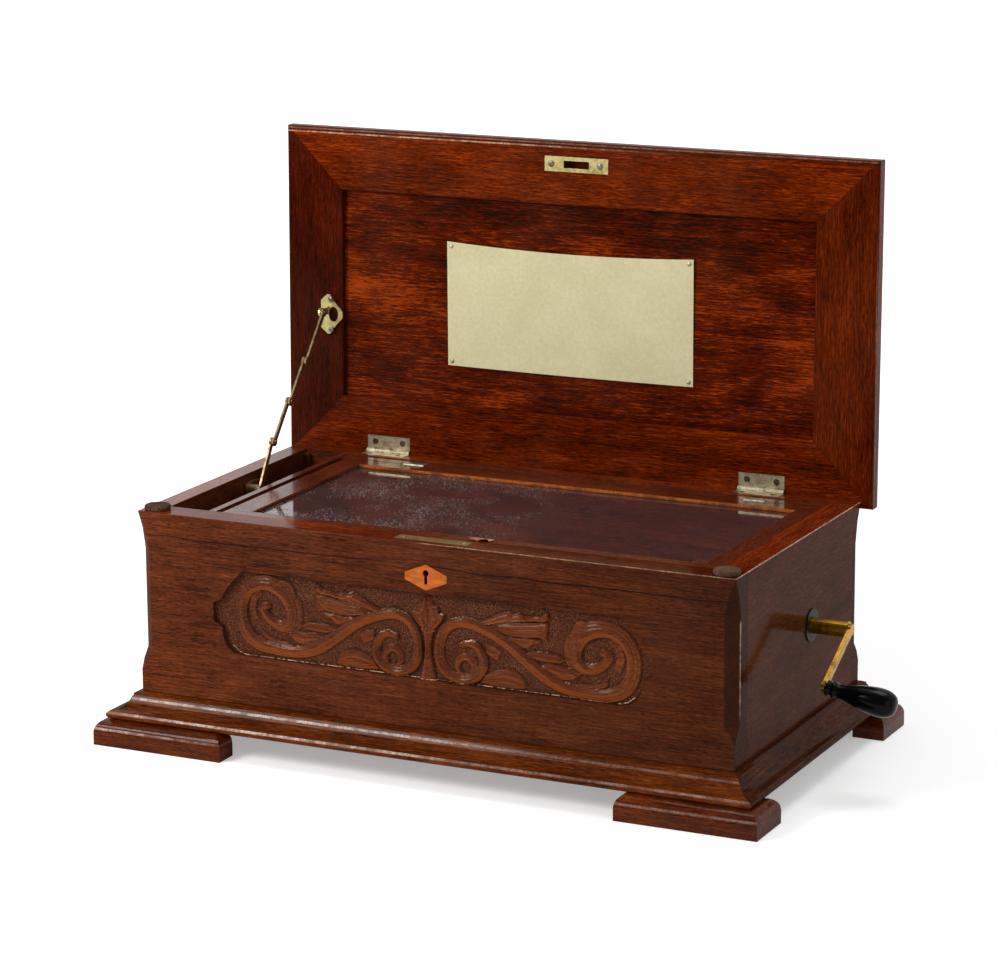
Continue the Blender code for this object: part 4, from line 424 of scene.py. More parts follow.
class Effects:
    """The node groups that several finishes share, each made once."""

    @staticmethod
    @cache
    def grain() -> Tree:
        """Figure, streaks and open pores of mahogany, read along the board.

        Returns:
            A group that takes a vector whose X runs along the grain.
        """
        shades = (("Dark", (50, 20, 12)), ("Middle", (95, 42, 20)), ("Light", (130, 64, 32)))
        w, start, end = shared_group(
            "mahogany_grain",
            [("Vector", Socket.VECTOR, None), ("Figure", Socket.NUMBER, 0.5)]
            + [(title, Socket.COLOUR, tone(*shade)) for title, shade in shades],
            [("Color", Socket.COLOUR), ("Roughness", Socket.NUMBER), ("Height", Socket.NUMBER)],
        )
        vector = start["Vector"]
        ribbon = w.noise(w.stretched(vector, (2.6, 15.0, 15.0)), 1.0, 4.0, 0.60, 0.9)
        cloud = w.stretched(vector, (14.0, 26.0, 26.0), (3.1, 0.0, 7.7))
        cloud = w.noise(cloud, 1.0, 3.0, 0.55, 0.6)
        streak = w.noise(w.stretched(vector, (30.0, 640.0, 640.0)), 1.0, 4.0, 0.70, 0.3)
        fibre = w.noise(w.stretched(vector, (120.0, 1500.0, 1500.0)), 1.0, 3.0, 0.66)
        pore = w.stretched(vector, (150.0, 1500.0, 1500.0), (9.0, 2.0, 5.0))
        pore = w.span(w.noise(pore, 1.0, 1.0, 0.4), 0.57, 0.70)
        broad = w.plus(w.times(ribbon, 0.60), w.times(cloud, 0.40))
        figure = w.times(w.minus(broad, 0.5), start["Figure"])
        fine = w.plus(w.times(w.minus(streak, 0.5), 1.9), w.times(w.minus(fibre, 0.5), 1.9))
        level = w.plus(w.plus(w.times(figure, 4.0), fine), 0.5)
        low = w.mix(w.span(level, 0.02, 0.48), start["Dark"], start["Middle"])
        body = w.mix(w.span(level, 0.52, 1.0), low, start["Light"])
        deep = w.mix(0.78, body, tone(16, 5, 3))
        w.feed(end["Color"], w.mix(w.times(pore, 0.85), body, deep))
        w.feed(end["Roughness"], w.plus(w.times(fibre, 0.14), w.times(pore, 0.14)))
        w.feed(end["Height"], w.minus(w.times(fibre, 0.40), w.times(pore, 0.70)))
        return w.tree

    @staticmethod
    @cache
    def dust() -> Tree:
        """Scattered pale specks and a thin uneven film.

        Returns:
            A group that takes a vector and an amount, and gives a factor.
        """
        w, start, end = shared_group(
            "settled_dust",
            [("Vector", Socket.VECTOR, None), ("Amount", Socket.NUMBER, 0.3)],
            [("Factor", Socket.NUMBER)],
        )
        spots = w.span(w.cells(start["Vector"], 420.0), 0.24, 0.12)
        patch = w.span(w.noise(start["Vector"], 26.0, 3.0, 0.6), 0.48, 0.72)
        film = w.times(w.span(w.noise(start["Vector"], 9.0, 4.0, 0.6), 0.35, 0.8), 0.30)
        total = w.plus(w.times(w.times(spots, patch), 0.75), film)
        w.feed(end["Factor"], w.times(total, start["Amount"], clamp=True))
        return w.tree

    @staticmethod
    @cache
    def edge_wear_and_highlights(name: str, edges: tuple[WearAndHighlightEdge, ...]) -> Tree:
        """Broken pale lines along straight edges, fading towards the ends of their reach: rubbed
        wear together with painted highlights on the case, and painted highlights on the lid, the
        mouldings and the rebate.

        Args:
            name: The group's name.
            edges: The edges.

        Returns:
            A group that takes a position and a width, and gives a factor.
        """
        inputs = [("Vector", Socket.VECTOR, None), ("Width", Socket.NUMBER, 0.0008)]
        w, start, end = shared_group(name, inputs, [("Factor", Socket.NUMBER)])
        place = w.split(start["Vector"])
        total: object = 0.0
        for edge in edges:
            first = w.math("ABSOLUTE", w.minus(place[edge.axis], edge.at))
            second = w.math("ABSOLUTE", w.minus(place[edge.other], edge.other_at))
            far = w.math("DIVIDE", w.larger(first, second), start["Width"])
            run = place[X + Y + Z - edge.axis - edge.other]
            fade = min(0.24, (edge.high - edge.low) * 0.06)
            reach = w.times(
                w.span(run, edge.low, edge.low + 0.02), w.span(run, edge.high, edge.high - fade)
            )
            total = w.larger(total, w.times(reach, w.span(far, 1.0, 0.35, 0.0, edge.strength)))
        flecks = w.span(w.noise(start["Vector"], 480.0, 2.0, 0.6), 0.40, 0.56, 0.35, 1.0)
        broken = w.span(w.noise(start["Vector"], 70.0, 4.0, 0.75), 0.38, 0.58)
        broken = w.times(broken, flecks)
        w.feed(end["Factor"], w.times(total, w.plus(w.times(broken, 0.75), 0.25)))
        return w.tree

    @staticmethod
    @cache
    def scratches() -> Tree:
        """Fine brushing and dull worn patches on metal.

        Returns:
            A group that takes a vector, and gives wear, roughness and height.
        """
        outputs = [(title, Socket.NUMBER) for title in ("Wear", "Roughness", "Height")]
        w, start, end = shared_group("worn_metal", [("Vector", Socket.VECTOR, None)], outputs)
        vector = start["Vector"]
        brush = w.noise(w.stretched(vector, (160.0, 1900.0, 1900.0)), 1.0, 3.0, 0.6)
        patch = w.noise(vector, 95.0, 4.0, 0.65, 0.6)
        pits = w.noise(vector, 780.0, 2.0, 0.5)
        worn = w.plus(w.times(patch, 0.7), w.times(pits, 0.3))
        w.feed(end["Wear"], w.span(worn, 0.42, 0.66))
        w.feed(end["Roughness"], w.plus(w.times(brush, 0.18), w.times(patch, 0.18)))
        w.feed(end["Height"], w.plus(w.times(brush, 0.6), w.times(pits, 0.4)))
        return w.tree


def new_material(name: str) -> tuple[Material, Wiring, Sockets, Wire]:
    """Starts a material with its shader.

    Args:
        name: The material's name.

    Returns:
        The material, its wiring, its Principled shader's inputs, and the object coordinates.
    """
    material = bpy.data.materials.new(name)
    material.use_nodes = True
    material.node_tree.nodes.clear()
    w = Wiring(material.node_tree)
    shader = w.node("ShaderNodeBsdfPrincipled")
    w.feed(w.node("ShaderNodeOutputMaterial").inputs["Surface"], shader.outputs[0])
    return material, w, shader.inputs, w.node("ShaderNodeTexCoord").outputs["Object"]


@dataclass(frozen=True)
class WoodFinish:
    """Polished wood with its grain along one axis."""

    name: str
    grain: Grain
    tones: tuple[Colour, Colour, Colour]
    shift: Triple = (0.0, 0.0, 0.0)
    figure: float = 0.5
    roughness: float = 0.30
    gloss: float = 0.08
    polish: float = 0.02
    dust: float = 0.10
    kind: Board = Board.PLAIN
    vein: float = 0.0
    # How much darker the board is painted towards its right end: a painted falloff of the light from
    # the left.
    fade: float = 0.0

    def along(self, w: Wiring, place: Wire, grain: Grain) -> Wire:
        """Turns the object's coordinates so that X runs along the grain.

        Args:
            w: The material's wiring.
            place: The object coordinates.
            grain: The direction of the grain.

        Returns:
            The turned and shifted vector.
        """
        apart = w.split(place)
        together = w.node("ShaderNodeCombineXYZ")
        for slot, source in enumerate(grain.value):
            w.feed(together.inputs[slot], apart[source])
        return w.stretched(together.outputs[0], (1.0, 1.0, 1.0), self.shift)

    @staticmethod
    def wood(
        w: Wiring, vector: Wire, tones: tuple[Colour, Colour, Colour], figure: float
    ) -> Sockets:
        """Adds the grain in its three tones.

        Args:
            w: The material's wiring.
            vector: The coordinates along the grain.
            tones: The dark, the middle and the light tone.
            figure: How strong the broad figure is.

        Returns:
            The grain's colour, roughness and height.
        """
        dark, middle, light = tones
        looks = {"Dark": dark, "Middle": middle, "Light": light}
        return w.group(Effects.grain(), Vector=vector, Figure=figure, **looks)

    def case_faces(self, w: Wiring, place: Wire, colour: Wire) -> tuple[Wire, Wire]:
        """Gives a case board's rim, ends and chamfers their own looks; the rim's redder grain is
        partly a painted reflection of the lid, and the chamfer's colour is painted shade and sheen.

        Args:
            w: The material's wiring.
            place: The object coordinates.
            colour: The colour of the board's face.

        Returns:
            The colour and the coat's weight.
        """
        x, y, z = w.split(place)
        right = w.span(x, RIGHT_END - 0.0008, RIGHT_END - 0.0003)
        end = w.larger(right, w.span(x, LEFT_END + 0.0008, LEFT_END + 0.0003))
        top = w.span(z, RIM - 0.0010, RIM - 0.0003)
        chamfer_sheen_and_shade = w.span(y, FRONT + 0.0004, FRONT + 0.0012)
        chamfer_sheen_and_shade = w.times(chamfer_sheen_and_shade, w.span(y, FRONT + 0.0160, FRONT + 0.0120))
        side = self.wood(w, self.along(w, place, Grain.ALONG_Y), SIDE_TONES, 0.5)
        # The rim's top faces get their own redder grain, partly a painted reflection of the red lid.
        rim = self.wood(w, self.along(w, place, self.grain), RIM_TONES_AND_LID_REFLECTION, 0.7)
        # The corner chamfer's face is painted a darker greyish mauve, as painted shade and sheen.
        colour = w.mix(w.times(chamfer_sheen_and_shade, 0.65), colour, tone(64, 38, 31))
        colour = w.mix(top, w.mix(end, colour, side["Color"]), rim["Color"])
        coat = w.larger(w.times(end, 0.14), w.times(top, 0.50))
        return colour, w.larger(coat, self.polish)

    def vein_mask(self, w: Wiring, place: Wire) -> Wire:
        """A thin dark vein that wanders along the board at one height.

        Args:
            w: The material's wiring.
            place: The object coordinates.

        Returns:
            The vein's factor.
        """
        run = w.stretched(place, (1.0, 0.0, 0.0), (2.0, 0.0, 0.0))
        wander = w.times(w.minus(w.noise(run, 7.0, 3.0), 0.5), 0.012)
        away = w.math("ABSOLUTE", w.minus(w.minus(w.split(place)[Z], self.vein), wander))
        shown = w.span(w.noise(run, 4.0, 2.0), 0.36, 0.52, 0.15, 0.9)
        return w.times(w.span(away, 0.0010, 0.0002), shown)

    @staticmethod
    def carved_faces(w: Wiring, place: Wire, colour: Wire) -> tuple[Wire, Wire, Wire]:
        """Gives the carving its ground, its two-toned slopes and its pale ledges, mostly as painted
        light: the ground darker with dust specks and painted shade, the slopes with a painted sheen
        where they face up and painted bounce light where they face down, painted shade in creases
        and below strokes, and ledges pale with dust and painted highlight.

        Args:
            w: The material's wiring.
            place: The object coordinates.
            colour: The wood's colour.

        Returns:
            The colour, the ground's factor and the punched pits.
        """
        relief, ledge, tilt, painted_shade = (
            w.node("ShaderNodeAttribute", attribute_name=name).outputs["Fac"]
            for name in ("relief", "ledge", "tilt", "painted_shade")
        )
        pits = w.span(w.cells(place, 560.0, "SMOOTH_F1"), 0.15, 0.62)
        ground = w.span(relief, 0.22, 0.08)
        grit = w.noise(place, 1100.0, 2.0, 0.6)
        patch = w.span(w.noise(place, 55.0, 3.0, 0.6), 0.40, 0.60)
        # Painted light by the way the slopes face: a dull greyish mauve as a painted sheen where
        # they face up, a warm orange as painted bounce light where they face down.
        dull = w.mix(0.6, colour, tone(78, 42, 36))
        colour = w.mix(w.span(tilt, 0.54, 0.85, 0.0, 0.8), colour, dull)
        painted_bounce_light = w.mix(0.7, colour, tone(150, 72, 18))
        colour = w.mix(w.span(tilt, 0.47, 0.12, 0.0, 0.8), colour, painted_bounce_light)
        specks = w.times(w.span(grit, 0.60, 0.68), w.plus(w.times(patch, 0.85), 0.10))
        # The recess's ground is painted darker, darkest in its punched pits: partly dirt and partly
        # painted shade in the recess; the pale specks are dust.
        ground_grime_and_shade = w.mix(specks, w.mix(pits, tone(40, 19, 14), tone(84, 44, 32)), tone(206, 146, 92))
        colour = w.mix(w.times(ground, 0.92), colour, ground_grime_and_shade)
        # Painted shade, near black, in the creases and below the strokes.
        colour = w.mix(w.times(painted_shade, 0.85), colour, tone(26, 11, 6))
        gaps = w.span(w.noise(place, 360.0, 3.0, 0.65), 0.44, 0.56)
        # Pale ledges that face up, and the recess's lower edge: partly dust and partly painted
        # highlight.
        ledge_dust_and_highlight = w.times(gaps, w.span(patch, 0.0, 0.5, 0.40, 1.0))
        ledge_dust_and_highlight = w.times(w.span(ledge, 0.45, 0.85), ledge_dust_and_highlight)
        return w.mix(w.times(ledge_dust_and_highlight, 0.95), colour, tone(252, 206, 168)), ground, pits

    def material(self) -> Material:
        """Builds the wood's material.

        Returns:
            The material.
        """
        material, w, shader, place = new_material(self.name)
        vector = self.along(w, place, self.grain)
        wood = self.wood(w, vector, self.tones, self.figure)
        colour, height = wood["Color"], wood["Height"]
        rough = w.plus(wood["Roughness"], self.roughness)
        coat: object = self.polish
        if self.vein:
            colour = w.mix(self.vein_mask(w, place), colour, tone(24, 9, 5))
        if self.kind is Board.CARVED:
            colour, ground, pits = self.carved_faces(w, place, colour)
            rough = w.plus(rough, w.times(ground, 0.30))
            height = w.plus(height, w.times(w.times(pits, ground), 4.0))
            coat = w.times(w.minus(1.0, ground), self.polish)
        elif self.kind is Board.CASE:
            colour, coat = self.case_faces(w, place, colour)
        elif self.kind is Board.LID:
            # The lid's topmost band, its edge seen at a slant, is painted dark as painted shade.
            low, high = (LID_TOP - drop for drop in LID_BAND_DROPS)
            colour = w.mix(w.span(w.split(place)[Z], low, high, 0.0, 0.6), colour, tone(46, 14, 8))
        elif self.polish > 0.1:
            uneven = w.span(w.noise(vector, 210.0, 4.0, 0.8), 0.30, 0.62, 0.45, 1.0)
            coat = w.times(uneven, self.polish)
        # Painted shade: the board grows darker towards its right end, as the light falls off from
        # the left.
        if self.fade:
            painted_shade_to_right = w.span(w.split(place)[X], LEFT_END, RIGHT_END, 0.0, self.fade)
            colour = w.mix(painted_shade_to_right, colour, w.mix(0.5, colour, tone(10, 3, 2)))
        film = w.group(Effects.dust(), Vector=place, Amount=self.dust)["Factor"]
        colour = w.mix(film, colour, tone(150, 120, 96))
        # Pale lines along edges: rubbed wear together with painted highlights on the case, and
        # painted highlights on the lid, the mouldings and the rebate.
        if self.kind in WEAR_AND_HIGHLIGHT_EDGES:
            name, edges, width, pale = WEAR_AND_HIGHLIGHT_EDGES[self.kind]
            worn = w.group(Effects.edge_wear_and_highlights(name, edges), Vector=place, Width=width)["Factor"]
            colour = w.mix(worn, colour, pale)
        looks = {
            "Base Color": colour,
            "Roughness": w.plus(rough, w.times(film, 0.4), clamp=True),
            "Specular IOR Level": self.gloss,
            "Specular Tint": (1.0, 0.40, 0.15, 1.0),
            "Coat Weight": coat,
            "Coat Roughness": 0.10,
        }
        w.fill(shader, looks)
        w.bump(shader["Normal"], height, 0.00005)
        return material


@dataclass(frozen=True)
class MetalFinish:
    """Metal with brushing and tarnished patches."""

    name: str
    bright: Colour
    tarnished: Colour
    roughness: float

    def material(self) -> Material:
        """Builds the metal's material.

        Returns:
            The material.
        """
        material, w, shader, place = new_material(self.name)
        wear = w.group(Effects.scratches(), Vector=place)
        looks = {
            "Base Color": w.mix(wear["Wear"], self.bright, self.tarnished),
            "Roughness": w.plus(wear["Roughness"], self.roughness, clamp=True),
            "Metallic": 1.0,
        }
        w.fill(shader, looks)
        w.bump(shader["Normal"], wear["Height"], 0.00002)
        return material


@dataclass(frozen=True)
class SoftFinish:
    """Felt, leather or paper: a fibrous or pebbled surface without a polish."""

    name: str
    deep: Colour
    pale: Colour
    scale: float
    depth: float
    roughness: float

    def material(self) -> Material:
        """Builds the material.

        Returns:
            The material.
        """
        material, w, shader, place = new_material(self.name)
        fine = w.noise(place, self.scale, 4.0, 0.65, 0.4)
        broad = w.noise(place, self.scale * 0.06, 3.0, 0.6)
        level = w.span(w.plus(w.times(fine, 0.55), w.times(broad, 0.45)), 0.32, 0.68)
        looks = {
            "Base Color": w.mix(level, self.deep, self.pale),
            "Roughness": w.plus(w.times(fine, 0.12), self.roughness - 0.06, clamp=True),
            "Specular IOR Level": 0.25,
        }
        w.fill(shader, looks)
        w.bump(shader["Normal"], fine, self.depth)
        return material


@dataclass(frozen=True)
class GlossFinish:
    """A smooth hard surface such as ebonised wood or stained horn."""

    name: str
    deep: Colour
    pale: Colour
    roughness: float
    coat: float
    gloss: float = 0.22

    def material(self) -> Material:
        """Builds the material.

        Returns:
            The material.
        """
        material, w, shader, place = new_material(self.name)
        streak = w.noise(w.stretched(place, (60.0, 260.0, 260.0)), 1.0, 3.0, 0.6)
        worn = w.noise(place, 140.0, 3.0, 0.6)
        looks = {
            "Base Color": w.mix(w.span(streak, 0.35, 0.75), self.deep, self.pale),
            "Roughness": w.plus(w.times(worn, 0.16), self.roughness, clamp=True),
            "Coat Weight": self.coat,
            "Specular IOR Level": self.gloss,
            "Coat Roughness": 0.08,
        }
        w.fill(shader, looks)
        w.bump(shader["Normal"], worn, 0.00003)
        return material


@dataclass(frozen=True)
class GlassFinish:
    """An old, slightly smoky pane, with dust that thins out towards its right end."""

    name: str
    tint: Colour
    haze: Colour

    def material(self) -> Material:
        """Builds the pane's material.

        Returns:
            The material.
        """
        material, w, shader, place = new_material(self.name)
        smear = w.noise(place, 22.0, 4.0, 0.6, 0.8)
        fleck = w.cells(w.stretched(place, (1.0, 1.0, 0.0)), 330.0)
        patch = w.span(w.noise(place, 17.0, 4.0, 0.7, 0.5), 0.38, 0.62)
        thick = w.times(patch, w.span(w.split(place)[X], 0.10, -0.14, 0.12, 1.0))
        dust = w.times(w.span(fleck, 0.40, 0.20), thick)
        smoky = w.mix(w.times(thick, 0.35), self.tint, self.haze)
        looks = {
            "Base Color": w.mix(dust, smoky, tone(250, 246, 240)),
            "Roughness": w.plus(w.span(smear, 0.45, 0.8, 0.012, 0.09), w.times(dust, 0.65)),
            "Transmission Weight": 0.93,
            "IOR": 1.5,
        }
        w.fill(shader, looks)
        w.bump(shader["Normal"], w.noise(place, 34.0, 2.0), 0.00004)
        return material


Finish = WoodFinish | MetalFinish | SoftFinish | GlossFinish | GlassFinish


def tones(*levels: Triple) -> tuple[Colour, ...]:
    """Turns the dark, middle and light colour of a wood into linear light."""
    return tuple(tone(*level) for level in levels)


# For each kind: its lines, their width and their pale colour; rubbed wear together with painted
# highlights on the case, and painted highlights on the other kinds.
WEAR_AND_HIGHLIGHT_EDGES = {
    Board.CASE: ("case_wear_and_highlights", CASE_LINES, 0.0010, tone(226, 176, 142)),
    Board.LID: ("lid_painted_highlights", LID_HIGHLIGHTS, 0.0010, tone(226, 176, 142)),
    Board.MOULDED: ("moulding_painted_highlights", MOULDING_HIGHLIGHTS, 0.0016, tone(238, 216, 204)),
    Board.GLAZED: ("rebate_painted_highlights", REBATE_HIGHLIGHTS, 0.0024, tone(190, 104, 40)),
}
SIDE_TONES = tones((50, 22, 11), (78, 37, 19), (102, 54, 29))
# Redder grain of the boards' top faces, partly a painted reflection of the lid.
RIM_TONES_AND_LID_REFLECTION = tones((62, 18, 6), (104, 36, 11), (142, 60, 20))
# The front board is painted darker towards its right end, as a painted light falloff.
MAHOGANY = WoodFinish(
    "mahogany_front", Grain.ALONG_X, tones((54, 22, 10), (96, 44, 21), (132, 67, 32)),
    gloss=0.0, polish=0.06, kind=Board.CASE, vein=0.2005, fade=0.95,
)
BACKBOARD = WoodFinish(
    "mahogany_back", Grain.ALONG_X, tones((52, 22, 11), (88, 40, 20), (118, 60, 30)),
    (4.0, 1.0, 2.0), gloss=0.0, polish=0.06, kind=Board.CASE,
)
SIDE_RIGHT = WoodFinish(
    "mahogany_right", Grain.ALONG_Y, SIDE_TONES, (7.0, 3.0, 0.0),
    roughness=0.14, gloss=0.0, polish=0.14, dust=0.04, kind=Board.CASE,
)
SIDE_LEFT = WoodFinish(
    "mahogany_left", Grain.ALONG_Y, tones((50, 22, 13), (80, 36, 18), (106, 54, 28)),
    (1.0, 8.0, 0.0), polish=0.2, kind=Board.CASE,
)
PLINTH_X = WoodFinish(
    "plinth_long", Grain.ALONG_X, tones((50, 17, 4), (94, 40, 10), (136, 68, 20)), (2.0, 0.0, 5.0),
    roughness=0.12, gloss=0.03, polish=0.12, kind=Board.MOULDED,
)
PLINTH_Y = WoodFinish(
    "plinth_short", Grain.ALONG_Y, tones((40, 17, 7), (70, 32, 13), (98, 52, 24)), (5.0, 2.0, 0.0),
    roughness=0.12, gloss=0.0, polish=0.16,
)
FOOT = WoodFinish(
    "foot", Grain.ALONG_X, tones((44, 15, 4), (82, 30, 4), (118, 52, 12)), (8.0, 3.0, 1.0),
    roughness=0.14, gloss=0.02, polish=0.3, kind=Board.MOULDED,
)
LID_FRAME_X = WoodFinish(
    "lid_frame_long", Grain.ALONG_X, tones((44, 8, 0), (96, 27, 1), (148, 54, 6)), (9.0, 0.0, 1.0),
    roughness=0.20, gloss=0.03, dust=0.12, kind=Board.LID,
)
LID_RIGHT = WoodFinish(
    "lid_frame_right", Grain.ALONG_Z, tones((42, 9, 1), (84, 24, 2), (120, 42, 6)), (0.0, 4.0, 2.0),
    roughness=0.20, gloss=0.03, kind=Board.LID,
)
LID_LEFT = WoodFinish(
    "lid_frame_left", Grain.ALONG_Z, tones((28, 5, 1), (62, 13, 2), (92, 25, 4)), (3.0, 1.0, 6.0),
    roughness=0.20, gloss=0.03, kind=Board.LID,
)
LID_PANEL = WoodFinish(
    "lid_panel", Grain.ALONG_X, tones((32, 4, 0), (84, 19, 1), (156, 58, 8)), (1.0, 6.0, 3.0),
    figure=0.75, roughness=0.20, gloss=0.03,
)
INSIDE_X = WoodFinish(
    "inner_long", Grain.ALONG_X, tones((48, 16, 8), (86, 34, 17), (118, 54, 28)), (3.0, 1.0, 8.0),
    roughness=0.16, polish=0.5, kind=Board.GLAZED,
)
INSIDE_Y = WoodFinish(
    "inner_short", Grain.ALONG_Y, tones((44, 15, 8), (80, 31, 16), (112, 50, 26)), (6.0, 5.0, 1.0),
    roughness=0.16, polish=0.5,
)
CORNER_BLOCK = WoodFinish(
    "corner_block", Grain.ALONG_Z, tones((38, 14, 8), (66, 27, 15), (92, 42, 24)), (2.0, 7.0, 1.0)
)
PINE = WoodFinish(
    "pine", Grain.ALONG_X, tones((120, 84, 48), (160, 122, 76), (186, 150, 100)),
    roughness=0.6, gloss=0.2, polish=0.0,
)
CARVED = WoodFinish(
    "carved_mahogany", Grain.ALONG_X, tones((58, 24, 11), (100, 45, 20), (134, 66, 28)),
    roughness=0.2, gloss=0.14, polish=0.12, kind=Board.CARVED,
)
HINGE_BRASS = MetalFinish("pale_hinge_brass", tone(206, 196, 168), tone(140, 126, 96), 0.24)
STAY_BRASS = MetalFinish("stay_brass", tone(176, 150, 116), tone(112, 84, 58), 0.26)
BRASS = MetalFinish("brass", tone(186, 142, 48), tone(104, 74, 24), 0.18)
PLATE_BRASS = MetalFinish("plate_brass", tone(206, 192, 132), tone(158, 140, 88), 0.24)
LOCK_BRASS = MetalFinish("lock_brass", tone(150, 128, 88), tone(98, 80, 52), 0.32)
LEAF_SCREW = MetalFinish("leaf_screw", tone(104, 92, 70), tone(30, 25, 18), 0.30)
SCREW = MetalFinish("screw_steel", tone(150, 142, 124), tone(84, 76, 64), 0.26)
MOVEMENT_BRASS = MetalFinish("movement_brass", tone(196, 158, 92), tone(120, 90, 48), 0.24)
STEEL = MetalFinish("comb_steel", tone(176, 176, 172), tone(104, 102, 98), 0.22)
IRON = MetalFinish("dark_iron", tone(42, 40, 38), tone(18, 16, 15), 0.34)
EBONISED = GlossFinish("ebonised_wood", tone(4, 4, 5), tone(10, 9, 10), 0.10, 0.0, 0.10)
STAINED_HORN = GlossFinish("escutcheon_inlay", tone(176, 82, 4), tone(208, 108, 18), 0.26, 0.12)
FELT = SoftFinish("felt", tone(16, 9, 6), tone(104, 72, 52), 520.0, 0.0008, 0.95)
LEATHER = SoftFinish("leather", tone(120, 66, 46), tone(206, 150, 118), 700.0, 0.0001, 0.6)
CARD = SoftFinish("card", tone(206, 198, 152), tone(222, 214, 172), 300.0, 0.00002, 0.45)
PANE = GlassFinish("pane", tone(186, 146, 144), tone(214, 208, 210))


def placed(name: str, data: bpy.types.ID) -> Piece:
    """Puts a new object into the scene.

    Args:
        name: The object's name.
        data: Its mesh, lamp or camera.

    Returns:
        The object.
    """
    piece = bpy.data.objects.new(name, data)
    bpy.context.scene.collection.objects.link(piece)
    return piece


def outward(name: str, shape: bmesh.types.BMesh) -> Mesh:
    """Turns a shape's faces outwards and makes a mesh of it.

    Args:
        name: The mesh's name.
        shape: The shape, which is freed.

    Returns:
        The mesh.
    """
    bmesh.ops.recalc_face_normals(shape, faces=shape.faces)
    mesh = bpy.data.meshes.new(name)
    shape.to_mesh(mesh)
    shape.free()
    return mesh


class Workshop:
    """Makes materials once, dresses CAD nodes, and adds new pieces."""

    @staticmethod
    @cache
    def finish(finish: Finish) -> Material:
        """The material of a finish, made the first time it is asked for."""
        return finish.material()

    @classmethod
    def dress(cls, finish: Finish, *nodes: str, soften: float = 0.0) -> None:
        """Gives CAD nodes their finish.

        Args:
            finish: The finish.
            *nodes: The nodes' names.
            soften: The width of the rounding on their edges, in metres.
        """
        for node in nodes:
            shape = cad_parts[node]
            material = cls.finish(finish)
            if not shape.material_slots:
                shape.data.materials.append(material)
            for slot in shape.material_slots:
                slot.material = material
            if soften:
                rounding = shape.modifiers.new("edge_rounding", "BEVEL")
                rounding.width = soften
                rounding.segments = 2
                rounding.limit_method = "ANGLE"
                rounding.angle_limit = math.radians(50)
                rounding.harden_normals = False

    @classmethod
    def smoothed(cls, node: str, finish: Finish, body: str, slot: str) -> Piece:
        """Puts a merged and smoothed copy of a moulding in the place of its CAD node.

        Args:
            node: The CAD node.
            finish: The copy's finish.
            body: The body it rides on.
            slot: The record's material slot.

        Returns:
            The new piece.
        """
        shape = bmesh.new()
        shape.from_mesh(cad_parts[node].data)
        bmesh.ops.remove_doubles(shape, verts=shape.verts, dist=1e-6)
        flat = math.radians(0.5)
        bmesh.ops.dissolve_limit(shape, angle_limit=flat, verts=shape.verts, edges=shape.edges)
        name = f"smooth_{node}"
        return cls.add(name, outward(name, shape), finish, body, slot, (node,), 33.0)

    @staticmethod
    def seat(node: str, start: Triple, way: Triple, gap: float = 0.00005) -> tuple[Triple, Triple]:
        """Finds where a ray first meets a CAD node, for a screw's head to sit.

        Args:
            node: The CAD node.
            start: Where the ray starts, outside the node.
            way: The way it goes.
            gap: How far the seat lies in front of the face.

        Returns:
            The place, and the direction that the head faces.
        """
        found, place, _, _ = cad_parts[node].ray_cast(Vector(start), Vector(way))
        if not found:
            raise ValueError(f"no face of {node} lies on the ray")
        return tuple(place - Vector(way) * gap), tuple(-part for part in way)

    @classmethod
    def add(
        cls,
        name: str,
        mesh: Mesh,
        finish: Finish,
        body: str,
        slot: str,
        stands_for: tuple[str, ...] = (),
        smooth: float = 40.0,
    ) -> Piece:
        """Adds a piece, smooths it, and lets it ride on its body.

        Args:
            name: The piece's name.
            mesh: Its mesh, in place.
            finish: Its finish.
            body: The CAD body it rides on.
            slot: The record's material slot; not used.
            stands_for: The CAD nodes that it replaces.
            smooth: The angle in degrees under which edges are smooth.

        Returns:
            The new object.
        """
        piece = placed(name, mesh)
        mesh.materials.clear()
        mesh.materials.append(cls.finish(finish))
        mesh.shade_smooth()
        mesh.set_sharp_from_angle(angle=math.radians(smooth))
        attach(piece, body)
        if stands_for:
            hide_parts(*stands_for)
        return piece


def lathe(profile: list[Point], steps: int, place: Matrix) -> Mesh:
    """Turns a profile about an axis.

    Args:
        profile: Pairs of radius and height, both ends on the axis.
        steps: How many faces go round.
        place: Where local Z and the origin go.

    Returns:
        A closed mesh.
    """
    shape = bmesh.new()
    rings: list[list[bmesh.types.BMVert]] = []
    angles = [2 * math.pi * i / steps for i in range(steps)]
    for radius, height in profile:
        ring = [(radius * math.cos(a), radius * math.sin(a), height) for a in angles]
        if radius < 1e-6:
            ring = [(0, 0, height)]
        rings.append([shape.verts.new(place @ Vector(corner)) for corner in ring])
    for low, high in zip(rings, rings[1:]):
        for i in range(steps):
            j = (i + 1) % steps
            below = [low[0]] if len(low) == 1 else [low[i], low[j]]
            above = [high[0]] if len(high) == 1 else [high[j], high[i]]
            shape.faces.new(below + above)
    return outward("turned", shape)


